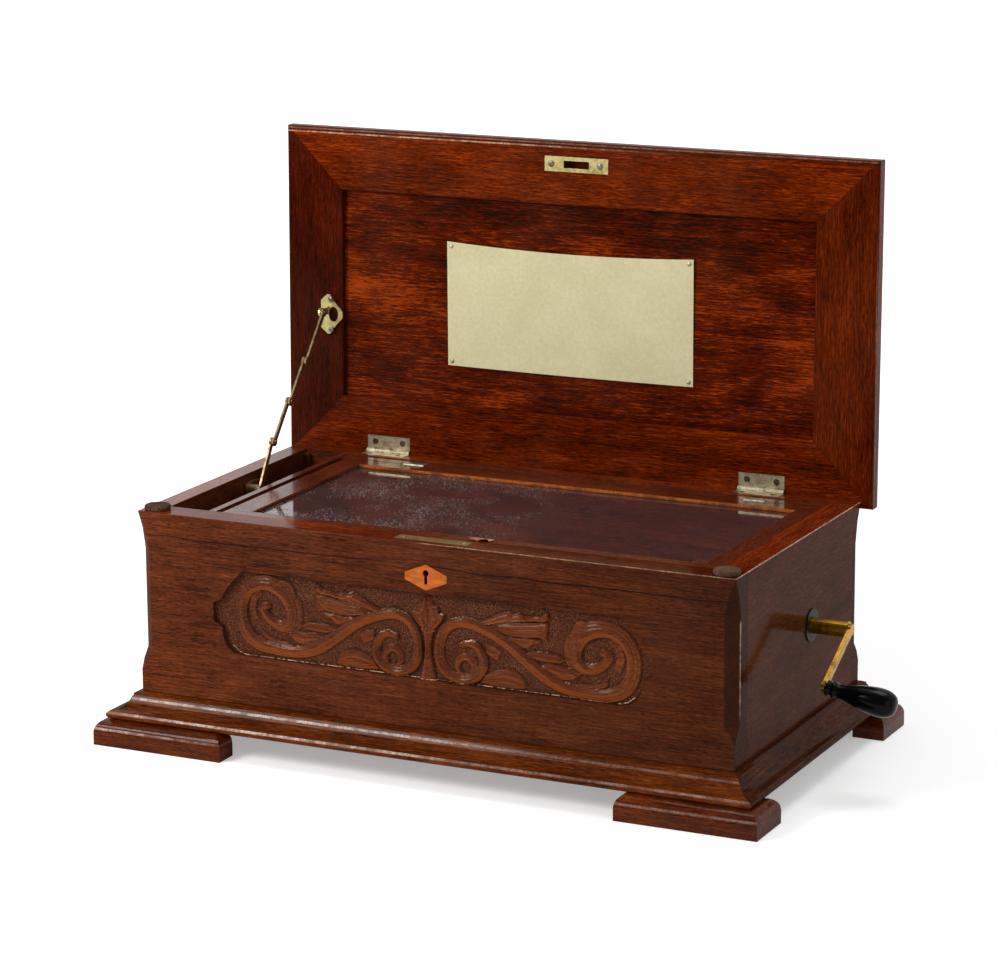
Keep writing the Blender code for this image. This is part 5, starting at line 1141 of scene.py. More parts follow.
def sheet(name: str, columns: int, rows: int, vertices: list[Triple]) -> Mesh:
    """Makes a thin closed sheet of two layers of points.

    Args:
        name: The mesh's name.
        columns: How many faces lie across it.
        rows: How many faces lie up it.
        vertices: The points of the outer layer row by row, and then those of the other.

    Returns:
        The mesh.
    """
    width = columns + 1
    side = (rows + 1) * width
    faces = []
    for j in range(rows):
        for a in range(j * width, j * width + columns):
            b, c, d = a + 1, a + width + 1, a + width
            faces += [(a, b, c, d), (side + d, side + c, side + b, side + a)]
    loop = [*range(columns), *(columns + j * width for j in range(rows))]
    loop += [rows * width + i for i in range(columns, 0, -1)]
    loop += [j * width for j in range(rows, 0, -1)]
    faces += [(b, a, side + a, side + b) for a, b in zip(loop, loop[1:] + loop[:1])]
    mesh = bpy.data.meshes.new(name)
    mesh.from_pydata(vertices, [], faces)
    mesh.update()
    return mesh


def smooth_line(points: list[Point], steps: int) -> Grid:
    """A smooth line through points, evenly sampled.

    Args:
        points: The points it goes through.
        steps: How many samples to give.

    Returns:
        An array of steps rows.
    """
    p = np.array([points[0], *points, points[-1]], float)
    p[0] = 2 * p[1] - p[2]
    p[-1] = 2 * p[-2] - p[-3]
    parts = []
    for a, b, c, d in zip(p, p[1:], p[2:], p[3:]):
        t = np.linspace(0, 1, 12, endpoint=False)[:, None]
        curve = 2 * b + (c - a) * t + (2 * a - 5 * b + 4 * c - d) * t**2
        parts.append(0.5 * (curve + (3 * b - a - 3 * c + d) * t**3))
    line = np.vstack([*parts, p[-2:-1]])
    run = np.concatenate([[0], np.cumsum(np.hypot(*np.diff(line, axis=0).T))])
    even = np.linspace(0, run[-1], steps)
    return np.stack([np.interp(even, run, line[:, k]) for k in (0, 1)], axis=1)


@dataclass
class CarvedPanel:
    """The scroll of leaves in the front board's recess, as a relief on its floor.

    Sizes are in millimetres on the front plane, X from the case's middle and Z from the
    ground, until the mesh is made.
    """

    cell: float = 0.70
    bottom: float = 95.0
    top: float = 176.0
    half_width: float = 190.0
    end: float = 212.5
    nib: float = 221.3
    nib_low: float = 125.0
    nib_high: float = 143.0
    recess: float = 5.0

    # Each line runs through points of X and Z
    SCROLL = (
        (44.5, 108.0), (46.5, 112.5), (43.5, 118.5), (36.5, 120.5), (30.0, 116.0), (29.5, 109.0),
        (35.0, 104.0), (42.0, 104.5),
    )
    INNER = (
        (34.0, 131.5), (42.0, 133.2), (49.0, 130.8), (54.2, 124.0), (55.2, 114.5), (49.5, 104.8),
        (38.5, 99.8), (26.5, 100.6), (15.2, 108.0), (11.0, 121.5), (13.0, 136.0), (19.0, 146.0),
        (29.0, 151.4), (41.0, 152.0), (54.0, 148.8), (68.0, 143.4), (81.0, 136.4), (93.0, 128.0),
        (105.0, 119.2), (117.0, 111.2), (130.0, 105.0), (143.8, 101.6),
    )
    OUTER = (
        (130.0, 105.0), (143.8, 101.6), (160.0, 100.4), (177.0, 101.4), (190.5, 106.6),
        (199.0, 116.5), (202.6, 129.0), (201.4, 142.4), (194.4, 154.4), (183.0, 160.9),
        (170.5, 161.9), (158.5, 158.6), (149.0, 150.6), (145.0, 140.0), (147.4, 129.6),
        (155.6, 123.6), (166.0, 124.6), (174.6, 131.0), (178.6, 138.6), (173.4, 140.8),
    )
    # Each band's middle line, half-widths from start to end, height, slope and veins' depth
    BANDS = (
        (SCROLL, (3.0, 3.8, 4.0, 3.8, 3.4, 2.8, 2.0, 1.0), 3.0, 0.5, 0.06),
        (INNER, (2.8, 4.4, 5.2, 5.4, 5.2, 5.0, 5.0, 5.2, 5.4, 6.0, 6.4, 6.2, 5.8), 4.7, 0.6, 0.15),
        (
            OUTER,
            (5.8, 6.0, 6.4, 7.0, 7.4, 7.4, 7.2, 7.2, 7.6, 8.6, 8.8, 7.0, 5.4, 4.8, 4.0),
            4.7, 0.6, 0.16,
        ),
    )
    STEM = (
        ((0, 94), (0, 104), (0, 118), (0, 130), (0, 140)), (8.5, 6.0, 3.6, 3.2, 5.0), 4.2, 0.4, 0.08,
    )
    COLLAR = (((-6, 141.5), (0, 140), (6, 141.5)), (1.5, 2.2, 1.5), 4.7, 0.2, 0.0)
    # Each leaf's upper edge, lower edge, height and number of hollows
    LEAVES = (
        (
            (
                (46, 154), (62, 160), (75, 166.5), (80, 168.4), (86, 166.2), (91.5, 168.2),
                (97, 165.0), (103, 166.2), (112, 167), (119.5, 172),
            ),
            (
                (46, 152), (58, 152), (70, 154.5), (84, 157), (96, 159.5), (106, 161), (115, 161),
                (120.4, 164),
            ),
            4.4, 2.5,
        ),
        (
            ((58, 152), (72, 155.5), (86, 158), (100, 159.8), (112, 161), (120, 161.5)),
            (
                (58, 150), (68, 147.5), (78, 145.5), (88, 144.4), (100, 145), (111, 146.5),
                (118.4, 144), (118.8, 152),
            ),
            3.6, 3.5,
        ),
        (
            ((76, 144.8), (90, 144.2), (102, 145), (113, 145)),
            ((76, 142), (85, 138), (94, 134.6), (100, 136), (104, 140), (110, 140.6)),
            2.9, 2.0,
        ),
        (
            ((96, 131), (106, 134.6), (118, 134.6), (129.6, 133), (137, 128.8)),
            ((96, 129), (108, 125), (120, 124.8), (130, 125)),
            3.6, 1.5,
        ),
        (
            ((110, 121), (121, 125), (132.5, 123), (141.3, 123), (153.4, 119)),
            ((110, 118), (122, 113.6), (133, 109.6), (144, 112)),
            3.3, 2.0,
        ),
        (
            ((143, 107.4), (152, 110), (162, 109.6), (171, 112), (178.4, 117)),
            ((143, 105), (156, 105), (168, 105.6), (177, 109)),
            3.4, 1.0,
        ),
        (
            ((53, 100), (57, 106.6), (67.5, 112.6), (79.4, 114.8), (90, 112), (96.8, 105.8)),
            ((53, 98), (64, 96.6), (76, 96.4), (90, 96.4), (98, 98)),
            3.4, 3.0,
        ),
        (
            ((57, 136), (66, 134.5), (74, 130.5)),
            ((57, 126), (63, 123), (69, 120)),
            2.6, 1.5,
        ),
        (
            ((140, 150), (143, 160), (147, 167), (154, 168), (161, 167)),
            ((143, 148), (148, 154), (154, 159), (161, 162)),
            3.6, 1.5,
        ),
        (
            ((134.5, 140), (136, 150), (141, 155)),
            ((135.6, 128), (142, 119), (150, 116), (144, 130), (143, 142)),
            3.0, 2.5,
        ),
        (
            ((183, 127), (186, 137), (184, 146), (178, 150)),
            ((190, 124), (195, 137), (191, 149), (182, 155)),
            2.4, 1.0,
        ),
    )
    SPEAR = (
        (
            (2.5, 140), (8, 144), (14, 150.5), (17, 157.5), (11.5, 158.2), (10.5, 164),
            (6, 165.5), (4, 170.5), (0, 176.4),
        ),
        ((0, 140), (0, 150), (0, 163), (0, 176.4)),
        4.2, 2.0,
    )

    def outline(self) -> Grid:
        """The recess's outline.

        Returns:
            The corners, anticlockwise.
        """
        right: list[Point] = [
            (self.half_width, self.bottom), (197, 97.2), (204, 103), (209, 111), (self.end, 119),
            (215.5, 123), (self.nib - 1, self.nib_low), (self.nib, 127), (self.nib, 141),
            (self.nib - 1, self.nib_high), (215.5, 145), (self.end, 149), (211, 158), (206, 167),
            (198.5, 173.5), (self.half_width, self.top),
        ]
        left = [(-x, z) for x, z in reversed(right)]
        return np.array(right + left)

    @staticmethod
    def inside(outline: Grid, x: Grid, z: Grid) -> Grid:
        """Which points lie within a closed outline.

        Args:
            outline: The outline's corners.
            x: The points' X.
            z: The points' Z.

        Returns:
            True for each point inside.
        """
        found = np.zeros(x.shape, bool)
        for (ax, az), (bx, bz) in zip(outline, np.roll(outline, -1, axis=0)):
            crosses = (az > z) != (bz > z)
            at = (bx - ax) * (z - az) / (bz - az + 1e-12) + ax
            found ^= crosses & (x < at)
        return found

    @staticmethod
    def nearest(line: Grid, x: Grid, z: Grid) -> tuple[Grid, Grid, Grid, Grid]:
        """The nearest place on a line for each point.

        Args:
            line: The line's points.
            x: The points' X.
            z: The points' Z.

        Returns:
            Distance, signed side, how far along the line from 0 to 1, and the nearest points.
        """
        best = np.full(x.shape, 1e9)
        side = np.zeros(x.shape)
        along = np.zeros(x.shape)
        foot = np.zeros((*x.shape, 2))
        count = len(line) - 1
        for i in range(count):
            ax, az = line[i]
            dx, dz = line[i + 1] - line[i]
            t = np.clip(((x - ax) * dx + (z - az) * dz) / (dx * dx + dz * dz + 1e-12), 0, 1)
            ex, ez = x - ax - t * dx, z - az - t * dz
            d = np.hypot(ex, ez)
            nearer = d < best
            best = np.where(nearer, d, best)
            side = np.where(nearer, np.sign(dx * ez - dz * ex), side)
            along = np.where(nearer, (i + t) / count, along)
            foot[nearer] = np.stack([ax + t * dx, az + t * dz], axis=-1)[nearer]
        return best, side, along, foot

    def stroke(
        self,
        x: Grid,
        z: Grid,
        points: tuple[Point, ...],
        widths: tuple[float, ...],
        height: float,
        slope: float,
        cut: float,
    ) -> Grid:
        """A carved band along a line, folded to a ridge, with fine veins along it.

        Args:
            x: The grid's X.
            z: The grid's Z.
            points: The band's middle line.
            widths: Its half-widths from start to end.
            height: Its height in mm.
            slope: How far it falls from its ridge to its edges, as a share of the height.
            cut: How deep its veins are, as a share of the height.

        Returns:
            The band's height over the grid.
        """
        line = smooth_line(points, max(24, 5 * len(points)))
        margin = max(widths) + 1
        near = (x > line[:, 0].min() - margin) & (x < line[:, 0].max() + margin)
        near &= (z > line[:, 1].min() - margin) & (z < line[:, 1].max() + margin)
        result = np.zeros(x.shape)
        d, side, along, _ = self.nearest(line, x[near], z[near])
        half = np.interp(along, np.linspace(0, 1, len(widths)), widths)
        u = np.clip(d / half, 0, 1)
        across = u * side
        ridge = 0.30
        fold = 1 - slope * np.abs(across - ridge) / (1 + ridge)
        for place in (-0.62, -0.22, 0.70):
            fold -= cut * np.exp(-(((across - place) / 0.075) ** 2))
        result[near] = height * fold * np.sqrt(1 - u**7) * np.clip(half / 2.5, 0.5, 1.0)
        return result

    def leaf(
        self,
        x: Grid,
        z: Grid,
        upper: tuple[Point, ...],
        lower: tuple[Point, ...],
        height: float,
        veins: float,
    ) -> Grid:
        """A leaf between two edges, rounded at its rim and veined along its length.

        Args:
            x: The grid's X.
            z: The grid's Z.
            upper: One edge from the base to the tip.
            lower: The other edge.
            height: Its height in mm.
            veins: How many hollows lie across it.

        Returns:
            The leaf's height over the grid.
        """
        result = np.zeros(x.shape)
        edge = np.array([*upper, *reversed(lower)], float)
        near = (x > edge[:, 0].min()) & (x < edge[:, 0].max())
        near &= (z > edge[:, 1].min()) & (z < edge[:, 1].max())
        near[near] = self.inside(edge, x[near], z[near])
        if not near.any():
            return result
        above = self.nearest(smooth_line(upper, 40), x[near], z[near])[0]
        below = self.nearest(smooth_line(lower, 40), x[near], z[near])[0]
        rim = self.nearest(np.vstack([edge, edge[:1]]), x[near], z[near])[0]
        t = above / (above + below + 1e-9)
        hollow = 0.5 - 0.5 * np.cos(2 * math.pi * veins * t)
        lean = 1.0 - 0.38 * t
        result[near] = height * lean * (1 - 0.34 * hollow) * np.clip(rim / 1.5, 0, 1) ** 0.5
        return result

    def half(self, x: Grid, z: Grid) -> Grid:
        """The carving right of the middle.

        Args:
            x: The grid's X.
            z: The grid's Z.

        Returns:
            The height over the grid.
        """
        h = np.zeros(x.shape)
        for leaf in self.LEAVES:
            h = np.maximum(h, self.leaf(x, z, *leaf))
        for band in self.BANDS:
            h = np.maximum(h, self.stroke(x, z, *band))
        return h

    def middle(self, x: Grid, z: Grid) -> Grid:
        """The flared stem, its collar and the spearhead leaf between the two scrolls.

        Args:
            x: The grid's X.
            z: The grid's Z.

        Returns:
            The height over the grid.
        """
        stem, collar = self.stroke(x, z, *self.STEM), self.stroke(x, z, *self.COLLAR)
        return np.maximum(np.maximum(stem, collar), self.leaf(np.abs(x), z, *self.SPEAR))

    def heights(self, x: Grid, z: Grid) -> Grid:
        """The whole relief.

        Args:
            x: The grid's X.
            z: The grid's Z.

        Returns:
            The height over the floor in mm.
        """
        left_x = -x / 0.955
        lift = 5.0 * np.clip((left_x - 80) / 90, 0, 1) ** 2
        h = np.where(x >= 0, self.half(x, z), self.half(left_x, z - lift))
        h = np.maximum(h, self.middle(x, z))
        ripple = np.sin(x * 7.1) * np.sin(z * 6.3 + x) * 0.05 + np.sin(x * 2.3 + z * 1.7) * 0.05
        return np.clip(h + ripple * (h < 0.4), 0.0, self.recess - 0.15) + 0.06

    @staticmethod
    def blurred(h: Grid, reach: int) -> Grid:
        """A box blur of the relief.

        Args:
            h: The heights.
            reach: How many cells it reaches each way.

        Returns:
            The blurred heights.
        """
        for axis in (0, 1):
            total = np.zeros(h.shape)
            for step in range(-reach, reach + 1):
                total += np.roll(h, step, axis=axis)
            h = total / (2 * reach + 1)
        return h

    def mesh(self) -> Mesh:
        """Makes the relief as one closed body on the recess's floor.

        Returns:
            The mesh, with attributes for its relief, its pale ledges of dust and painted highlight,
            its slopes for painted light by the way they face, and its painted shade in creases and
            below strokes.
        """
        xs = np.arange(-self.nib - 1, self.nib + 1 + self.cell, self.cell)
        zs = np.arange(self.bottom - 1, self.top + 1 + self.cell, self.cell)
        x, z = np.meshgrid(xs, zs)
        edge = self.outline()
        closed = np.vstack([edge, edge[:1]])
        mid_x, mid_z = x[:-1, :-1] + self.cell / 2, z[:-1, :-1] + self.cell / 2
        cells = self.inside(edge, mid_x, mid_z)
        used = np.zeros(x.shape, bool)
        full = np.zeros(x.shape, int)
        for dz in (0, 1):
            for dx in (0, 1):
                used[dz : dz + cells.shape[0], dx : dx + cells.shape[1]] |= cells
                full[dz : dz + cells.shape[0], dx : dx + cells.shape[1]] += cells
        rim = used & (full < 4)
        _, _, _, foot = self.nearest(closed, x[rim], z[rim])
        x[rim], z[rim] = foot[:, 0], foot[:, 1]
        h = self.heights(x, z)
        rise = -np.gradient(h, self.cell, axis=0)
        # Steep slopes that face up, for pale ledges of dust and painted highlight.
        ledge = np.clip(0.9 * self.blurred(np.clip(rise - 0.8, 0, 1.3), 1), 0, 1)
        # How each slope faces up or down, for its painted sheen and painted bounce light.
        tilt = 0.5 + 0.5 * np.clip(self.blurred(rise, 1) * 1.6, -1, 1)
        # Painted shade: hollows darker than their surroundings, and a painted cast shadow below and
        # right of each stroke, as light from the upper left would cast it.
        hollow = np.clip((self.blurred(h, 2) - h) * 1.1 - 0.15, 0, 1)
        cast_shadow = np.clip((np.roll(np.roll(h, -2, axis=0), 1, axis=1) - h) * 0.5 - 0.6, 0, 1)
        painted_shade = np.maximum(hollow, cast_shadow) * (h < 2.2)
        to_edge, _, _, _ = self.nearest(closed, x[used], z[used])
        # The recess's lower edge gets a pale line of dust and painted highlight, and its other edges
        # only a trace.
        low_edge = np.where(z[used] < self.bottom + 8, 1.0, 0.1)
        ledge[used] = np.maximum(ledge[used], np.clip(1.3 - to_edge / 1.1, 0, 1) * low_edge)
        number = -np.ones(x.shape, int)
        number[used] = np.arange(used.sum())
        depth = (FRONT * 1000) + self.recess
        top = np.stack([x[used] + CASE_MIDDLE * 1000, depth - h[used], z[used]], axis=1)
        rows, columns = np.nonzero(cells)
        quads = np.stack(
            [number[rows + j, columns + i] for j, i in ((0, 0), (0, 1), (1, 1), (1, 0))], axis=1
        )
        pairs: dict[tuple[int, int], bool] = {}
        for k in range(4):
            for a, b in zip(quads[:, k].tolist(), quads[:, (k + 1) % 4].tolist()):
                if (b, a) in pairs:
                    del pairs[(b, a)]
                else:
                    pairs[(a, b)] = True
        rim_points = sorted({a for a, _ in pairs})
        lower = {a: len(top) + i for i, a in enumerate(rim_points)}
        under = top[rim_points].copy()
        under[:, 1] = depth + 0.05
        centre = len(top) + len(under)
        middle = np.array([[CASE_MIDDLE * 1000, depth + 0.05, (self.bottom + self.top) / 2]])
        faces = quads.tolist()
        for a, b in pairs:
            faces.append([b, a, lower[a], lower[b]])
            faces.append([lower[b], lower[a], centre])
        mesh = bpy.data.meshes.new("carving")
        mesh.from_pydata((np.vstack([top, under, middle]) / 1000).tolist(), [], faces)
        extra = len(under) + 1
        layers = {"relief": h / self.recess, "ledge": ledge, "tilt": tilt, "painted_shade": painted_shade}
        for name, values in layers.items():
            layer = mesh.attributes.new(name, "FLOAT", "POINT")
            padded = np.concatenate([values[used], np.zeros(extra)])
            layer.data.foreach_set("value", padded.astype(np.float32))
        mesh.update()
        return mesh

    def build(self) -> None:
        """Makes the carving and lets it ride on the case."""
        piece = Workshop.add("carving", self.mesh(), CARVED, "case", "mahogany", smooth=60.0)
        LOG.info("carving: %d faces", len(piece.data.polygons))


class ScrewTree:
    """A Geometry Nodes tree that sets a turned head on each of a set of points."""

    def __init__(self) -> None:
        """Builds the tree with its named inputs."""
        inputs = [
            ("Points", Socket.SHAPE, None), ("Head", Socket.OBJECT, None),
            ("Size", Socket.NUMBER, 1.0), ("Seed", Socket.COUNT, 7),
            ("Finish", Socket.MATERIAL, None),
        ]
        outputs = [("Heads", Socket.SHAPE)]
        w, start, end = shared_group("heads_on_points", inputs, outputs, "GeometryNodeTree")
        head = w.node("GeometryNodeObjectInfo", transform_space="ORIGINAL")
        w.feed(head.inputs["Object"], start["Head"])
        facing = w.node("GeometryNodeInputNamedAttribute", data_type="FLOAT_VECTOR")
        w.feed(facing.inputs["Name"], "facing")
        turn = w.node("FunctionNodeRandomValue", data_type="FLOAT")
        w.feed(turn.inputs[2], 0.0)
        w.feed(turn.inputs[3], math.pi)
        w.feed(turn.inputs["Seed"], start["Seed"])
        spin = w.node("ShaderNodeCombineXYZ")
        w.feed(spin.inputs["Z"], turn.outputs[1])
        own = w.node("FunctionNodeEulerToRotation")
        w.feed(own.inputs[0], spin.outputs[0])
        aim = w.node("FunctionNodeAlignRotationToVector", axis="Z")
        w.feed(aim.inputs["Vector"], facing.outputs["Attribute"])
        both = w.node("FunctionNodeRotateRotation", rotation_space="LOCAL")
        w.fill(both.inputs, {"Rotation": aim.outputs[0], "Rotate By": own.outputs[0]})
        put = w.node("GeometryNodeInstanceOnPoints")
        instance = {"Instance": head.outputs["Geometry"], "Rotation": both.outputs[0]}
        w.fill(put.inputs, {"Points": start["Points"], **instance, "Scale": start["Size"]})
        real = w.node("GeometryNodeRealizeInstances")
        w.feed(real.inputs[0], put.outputs[0])
        paint = w.node("GeometryNodeSetMaterial")
        w.fill(paint.inputs, {"Geometry": real.outputs[0], "Material": start["Finish"]})
        w.feed(end[0], paint.outputs[0])
        self.tree = w.tree

    def place(
        self,
        name: str,
        head: Mesh,
        places: list[tuple[Triple, Triple]],
        size: float,
        finish: Finish,
        body: str,
        slot: str,
        seed: int,
    ) -> Piece:
        """Sets heads on places and makes one plain mesh of them.

        Args:
            name: The piece's name.
            head: One head, its top towards +Z, of size 1.
            places: Pairs of a point and the direction that a head faces.
            size: The head's size in metres.
            finish: The heads' finish.
            body: The body they ride on.
            slot: The record's material slot.
            seed: The seed of the heads' turns.

        Returns:
            The new piece.
        """
        points = bpy.data.meshes.new(f"{name}_points")
        points.from_pydata([place for place, _ in places], [], [])
        layer = points.attributes.new("facing", "FLOAT_VECTOR", "POINT")
        layer.data.foreach_set("vector", [part for _, way in places for part in way])
        holder, pattern = placed(f"{name}_points", points), placed(f"{name}_head", head)
        modifier = holder.modifiers.new("heads", "NODES")
        modifier.node_group = self.tree
        values = {"Head": pattern, "Size": size, "Seed": seed, "Finish": Workshop.finish(finish)}
        for item in self.tree.interface.items_tree:
            if item.in_out == "INPUT" and item.name in values:
                modifier[item.identifier] = values[item.name]
        bpy.context.view_layer.update()
        graph = bpy.context.evaluated_depsgraph_get()
        mesh = bpy.data.meshes.new_from_object(holder.evaluated_get(graph))
        holder.modifiers.remove(modifier)
        for helper in (holder, pattern):
            bpy.data.objects.remove(helper)
        return Workshop.add(name, mesh, finish, body, slot)


def slotted_head(dome: float = 0.28, slot_width: float = 0.20, slot_depth: float = 0.16) -> Mesh:
    """A screw's head of radius 1 with its slot cut across.

    Args:
        dome: How high its middle stands over its edge.
        slot_width: The slot's width.
        slot_depth: The slot's depth.

    Returns:
        A closed mesh whose underside lies a little under Z 0.
    """
    shape = bmesh.new()
    steps = 14
    crown_share, bottom, shoulder = 0.62, -0.12, 0.05
    half = slot_width / 2
    cut = math.asin(half)
    for side in (1, -1):
        angles = [cut + (math.pi - 2 * cut) * i / steps for i in range(steps + 1)]
        outer = [(math.cos(a), side * math.sin(a)) for a in angles]
        inner = [(x * crown_share, max(abs(y) * crown_share, half) * side) for x, y in outer]
        low = [shape.verts.new((x, y, bottom)) for x, y in outer]
        edge = [shape.verts.new((x, y, shoulder)) for x, y in outer]
        crown = [shape.verts.new((x, y, dome)) for x, y in inner]
        for a, b in zip(range(len(outer)), range(1, len(outer))):
            shape.faces.new((low[a], low[b], edge[b], edge[a]))
            shape.faces.new((edge[a], edge[b], crown[b], crown[a]))
        shape.faces.new(crown)
        shape.faces.new(low)
        shape.faces.new((low[0], edge[0], crown[0], crown[-1], edge[-1], low[-1]))
    end = math.cos(cut)
    floor = [(-end, -half), (end, -half), (end, half), (-end, half)]
    below = [shape.verts.new((x, y, bottom)) for x, y in floor]
    above = [shape.verts.new((x, y, dome - slot_depth - 0.05)) for x, y in floor]
    shape.faces.new(below)
    shape.faces.new(above)
    for a in range(4):
        b = (a + 1) % 4
        shape.faces.new((below[a], below[b], above[b], above[a]))
    return outward("slotted_head", shape)


def round_head(dome: float, steps: int = 20) -> Mesh:
    """A rivet's or pin's domed head of radius 1.

    Args:
        dome: Its height.
        steps: How many faces go round.

    Returns:
        A closed mesh.
    """
    profile = [(0.0, -0.12), (1.0, -0.12), (1.0, 0.04)]
    profile += [(math.cos(a), 0.04 + (dome - 0.04) * math.sin(a)) for a in (0.4, 0.8, 1.2)]
    return lathe([*profile, (0.0, dome)], steps, Matrix.Identity(4))


@dataclass
class Case:
    """Boards, plinth and feet, with their finishes."""

    edge: float = 0.0007
    block_width: float = 0.0062
    block_depth: float = 0.0055
    block_height: float = 0.072
    block_bevel: float = 0.0012
    block_drop: float = 0.003

    SHARP = (("front_wall", MAHOGANY), ("bottom_board", PINE))
    SOFTENED = (
        ("back_wall", BACKBOARD), ("left_wall", SIDE_LEFT), ("right_wall", SIDE_RIGHT),
        ("partition", INSIDE_Y), ("hinge_strip", INSIDE_X),
    )
    MOULDINGS = (
        ("plinth_front", PLINTH_X), ("plinth_back", PLINTH_X),
        ("plinth_left", PLINTH_Y), ("plinth_right", PLINTH_Y),
        *((f"foot_{end}_{side}", FOOT) for end in ("front", "back") for side in ("left", "right")),
    )

    def build(self) -> None:
        """Dresses the boards, the mouldings and the feet."""
        for node, finish in self.SHARP:
            Workshop.dress(finish, node)
        for node, finish in self.SOFTENED:
            Workshop.dress(finish, node, soften=self.edge)
        for node, finish in self.MOULDINGS:
            Workshop.smoothed(node, finish, "case", "mahogany")
        self.cleat()
        LOG.info("case: 7 boards, 4 mouldings, 4 feet, glue block")

    def cleat(self) -> None:
        """A small glue block in the corner between the left board and the back board."""
        left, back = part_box("left_wall")[1].x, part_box("back_wall")[0].y
        corner = Vector((left, back, RIM - self.block_drop))
        along, out, high, cut = (
            self.block_width, self.block_depth, self.block_height, self.block_bevel
        )
        outline = [(0, 0), (along, 0), (along, -out + cut), (along - cut, -out), (0, -out)]
        shape = bmesh.new()
        rings = []
        for drop, shrink in ((0.0, cut), (cut, 0.0), (high - cut, 0.0), (high, cut)):
            ring = [(min(x, along - shrink), max(y, -out + shrink), -drop) for x, y in outline]
            rings.append([shape.verts.new(corner + Vector(place)) for place in ring])
        for upper, lower in zip(rings, rings[1:]):
            for a in range(len(outline)):
                b = (a + 1) % len(outline)
                shape.faces.new((upper[a], upper[b], lower[b], lower[a]))
        shape.faces.new(rings[0])
        shape.faces.new(rings[-1])
        mesh = outward("corner_cleat", shape)
        Workshop.add("corner_cleat", mesh, CORNER_BLOCK, "case", "mahogany", smooth=20.0)


@dataclass
class Pads:
    """Two felt bumpers on the rim's front corners."""

    swell: float = 0.0003
    # Shares of the radius and of the height
    PROFILE = (
        (0.0, 0.0), (0.97, 0.0), (1.0, 0.2), (1.01, 0.55), (0.985, 0.86), (0.93, 1.0), (0.6, 1.03),
        (0.0, 1.02),
    )

    def mesh(self, node: str) -> Mesh:
        """A soft-edged disc a little uneven all round.

        Args:
            node: The CAD node whose place it takes.

        Returns:
            The mesh.
        """
        low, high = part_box(node)
        radius, height = (high.x - low.x) / 2, high.z - low.z
        middle = Vector(((low.x + high.x) / 2, (low.y + high.y) / 2, low.z))
        profile = [(radius * r, height * z) for r, z in self.PROFILE]
        mesh = lathe(profile, 64, Matrix.Translation(middle))
        for vertex in mesh.vertices:
            out = vertex.co - middle
            wave = math.sin(out.x * 2600 + 1) * math.cos(out.y * 2300)
            wave += math.sin(out.y * 5200 + out.x * 3900)
            vertex.co += Vector((out.x, out.y, 0)) / radius * self.swell * wave * 0.5
            vertex.co.z += self.swell * 0.4 * wave if out.z > height * 0.5 else 0.0
        return mesh

    def build(self) -> None:
        """Makes both pads in place of the CAD discs."""
        for side in ("left", "right"):
            node = f"bumper_pad_{side}"
            Workshop.add(f"felt_pad_{side}", self.mesh(node), FELT, "case", "felt", (node,))
        LOG.info("pads: 2")


@dataclass
class Fitted:
    """A part of the box that is held by screws, pins or rivets."""

    screws: ScrewTree


@dataclass
class Lock(Fitted):
    """Lock case, bolt and the inlaid escutcheon."""

    screw: float = 0.0026
    screw_inset: float = 0.006
    pin: float = 0.0011
    pin_inset: float = 0.0026
    gap: float = 0.00005
    inlay_edge: float = 0.0003

    def build(self) -> None:
        """Dresses the lock and sets its screws and pins."""
        Workshop.dress(LOCK_BRASS, "lock_case", "lock_bolt")
        Workshop.dress(STAINED_HORN, "escutcheon", soften=self.inlay_edge)
        low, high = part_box("lock_case")
        middle = (low.y + high.y) / 2
        ends = (low.x + self.screw_inset, high.x - self.screw_inset)
        places = [((x, middle, high.z + self.gap), UP) for x in ends]
        look = (self.screw, LOCK_BRASS, "case", "brass", 11)
        self.screws.place("lock_screws", slotted_head(), places, *look)
        low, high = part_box("escutcheon")
        z = (low.z + high.z) / 2
        ends = (low.x + self.pin_inset, high.x - self.pin_inset)
        pins = [((x, low.y - self.gap, z), FORWARD) for x in ends]
        look = (self.pin, BRASS, "case", "brass", 3)
        self.screws.place("escutcheon_pins", round_head(0.4, 14), pins, *look)
        LOG.info("lock: dressed, 2 screws, 2 pins")


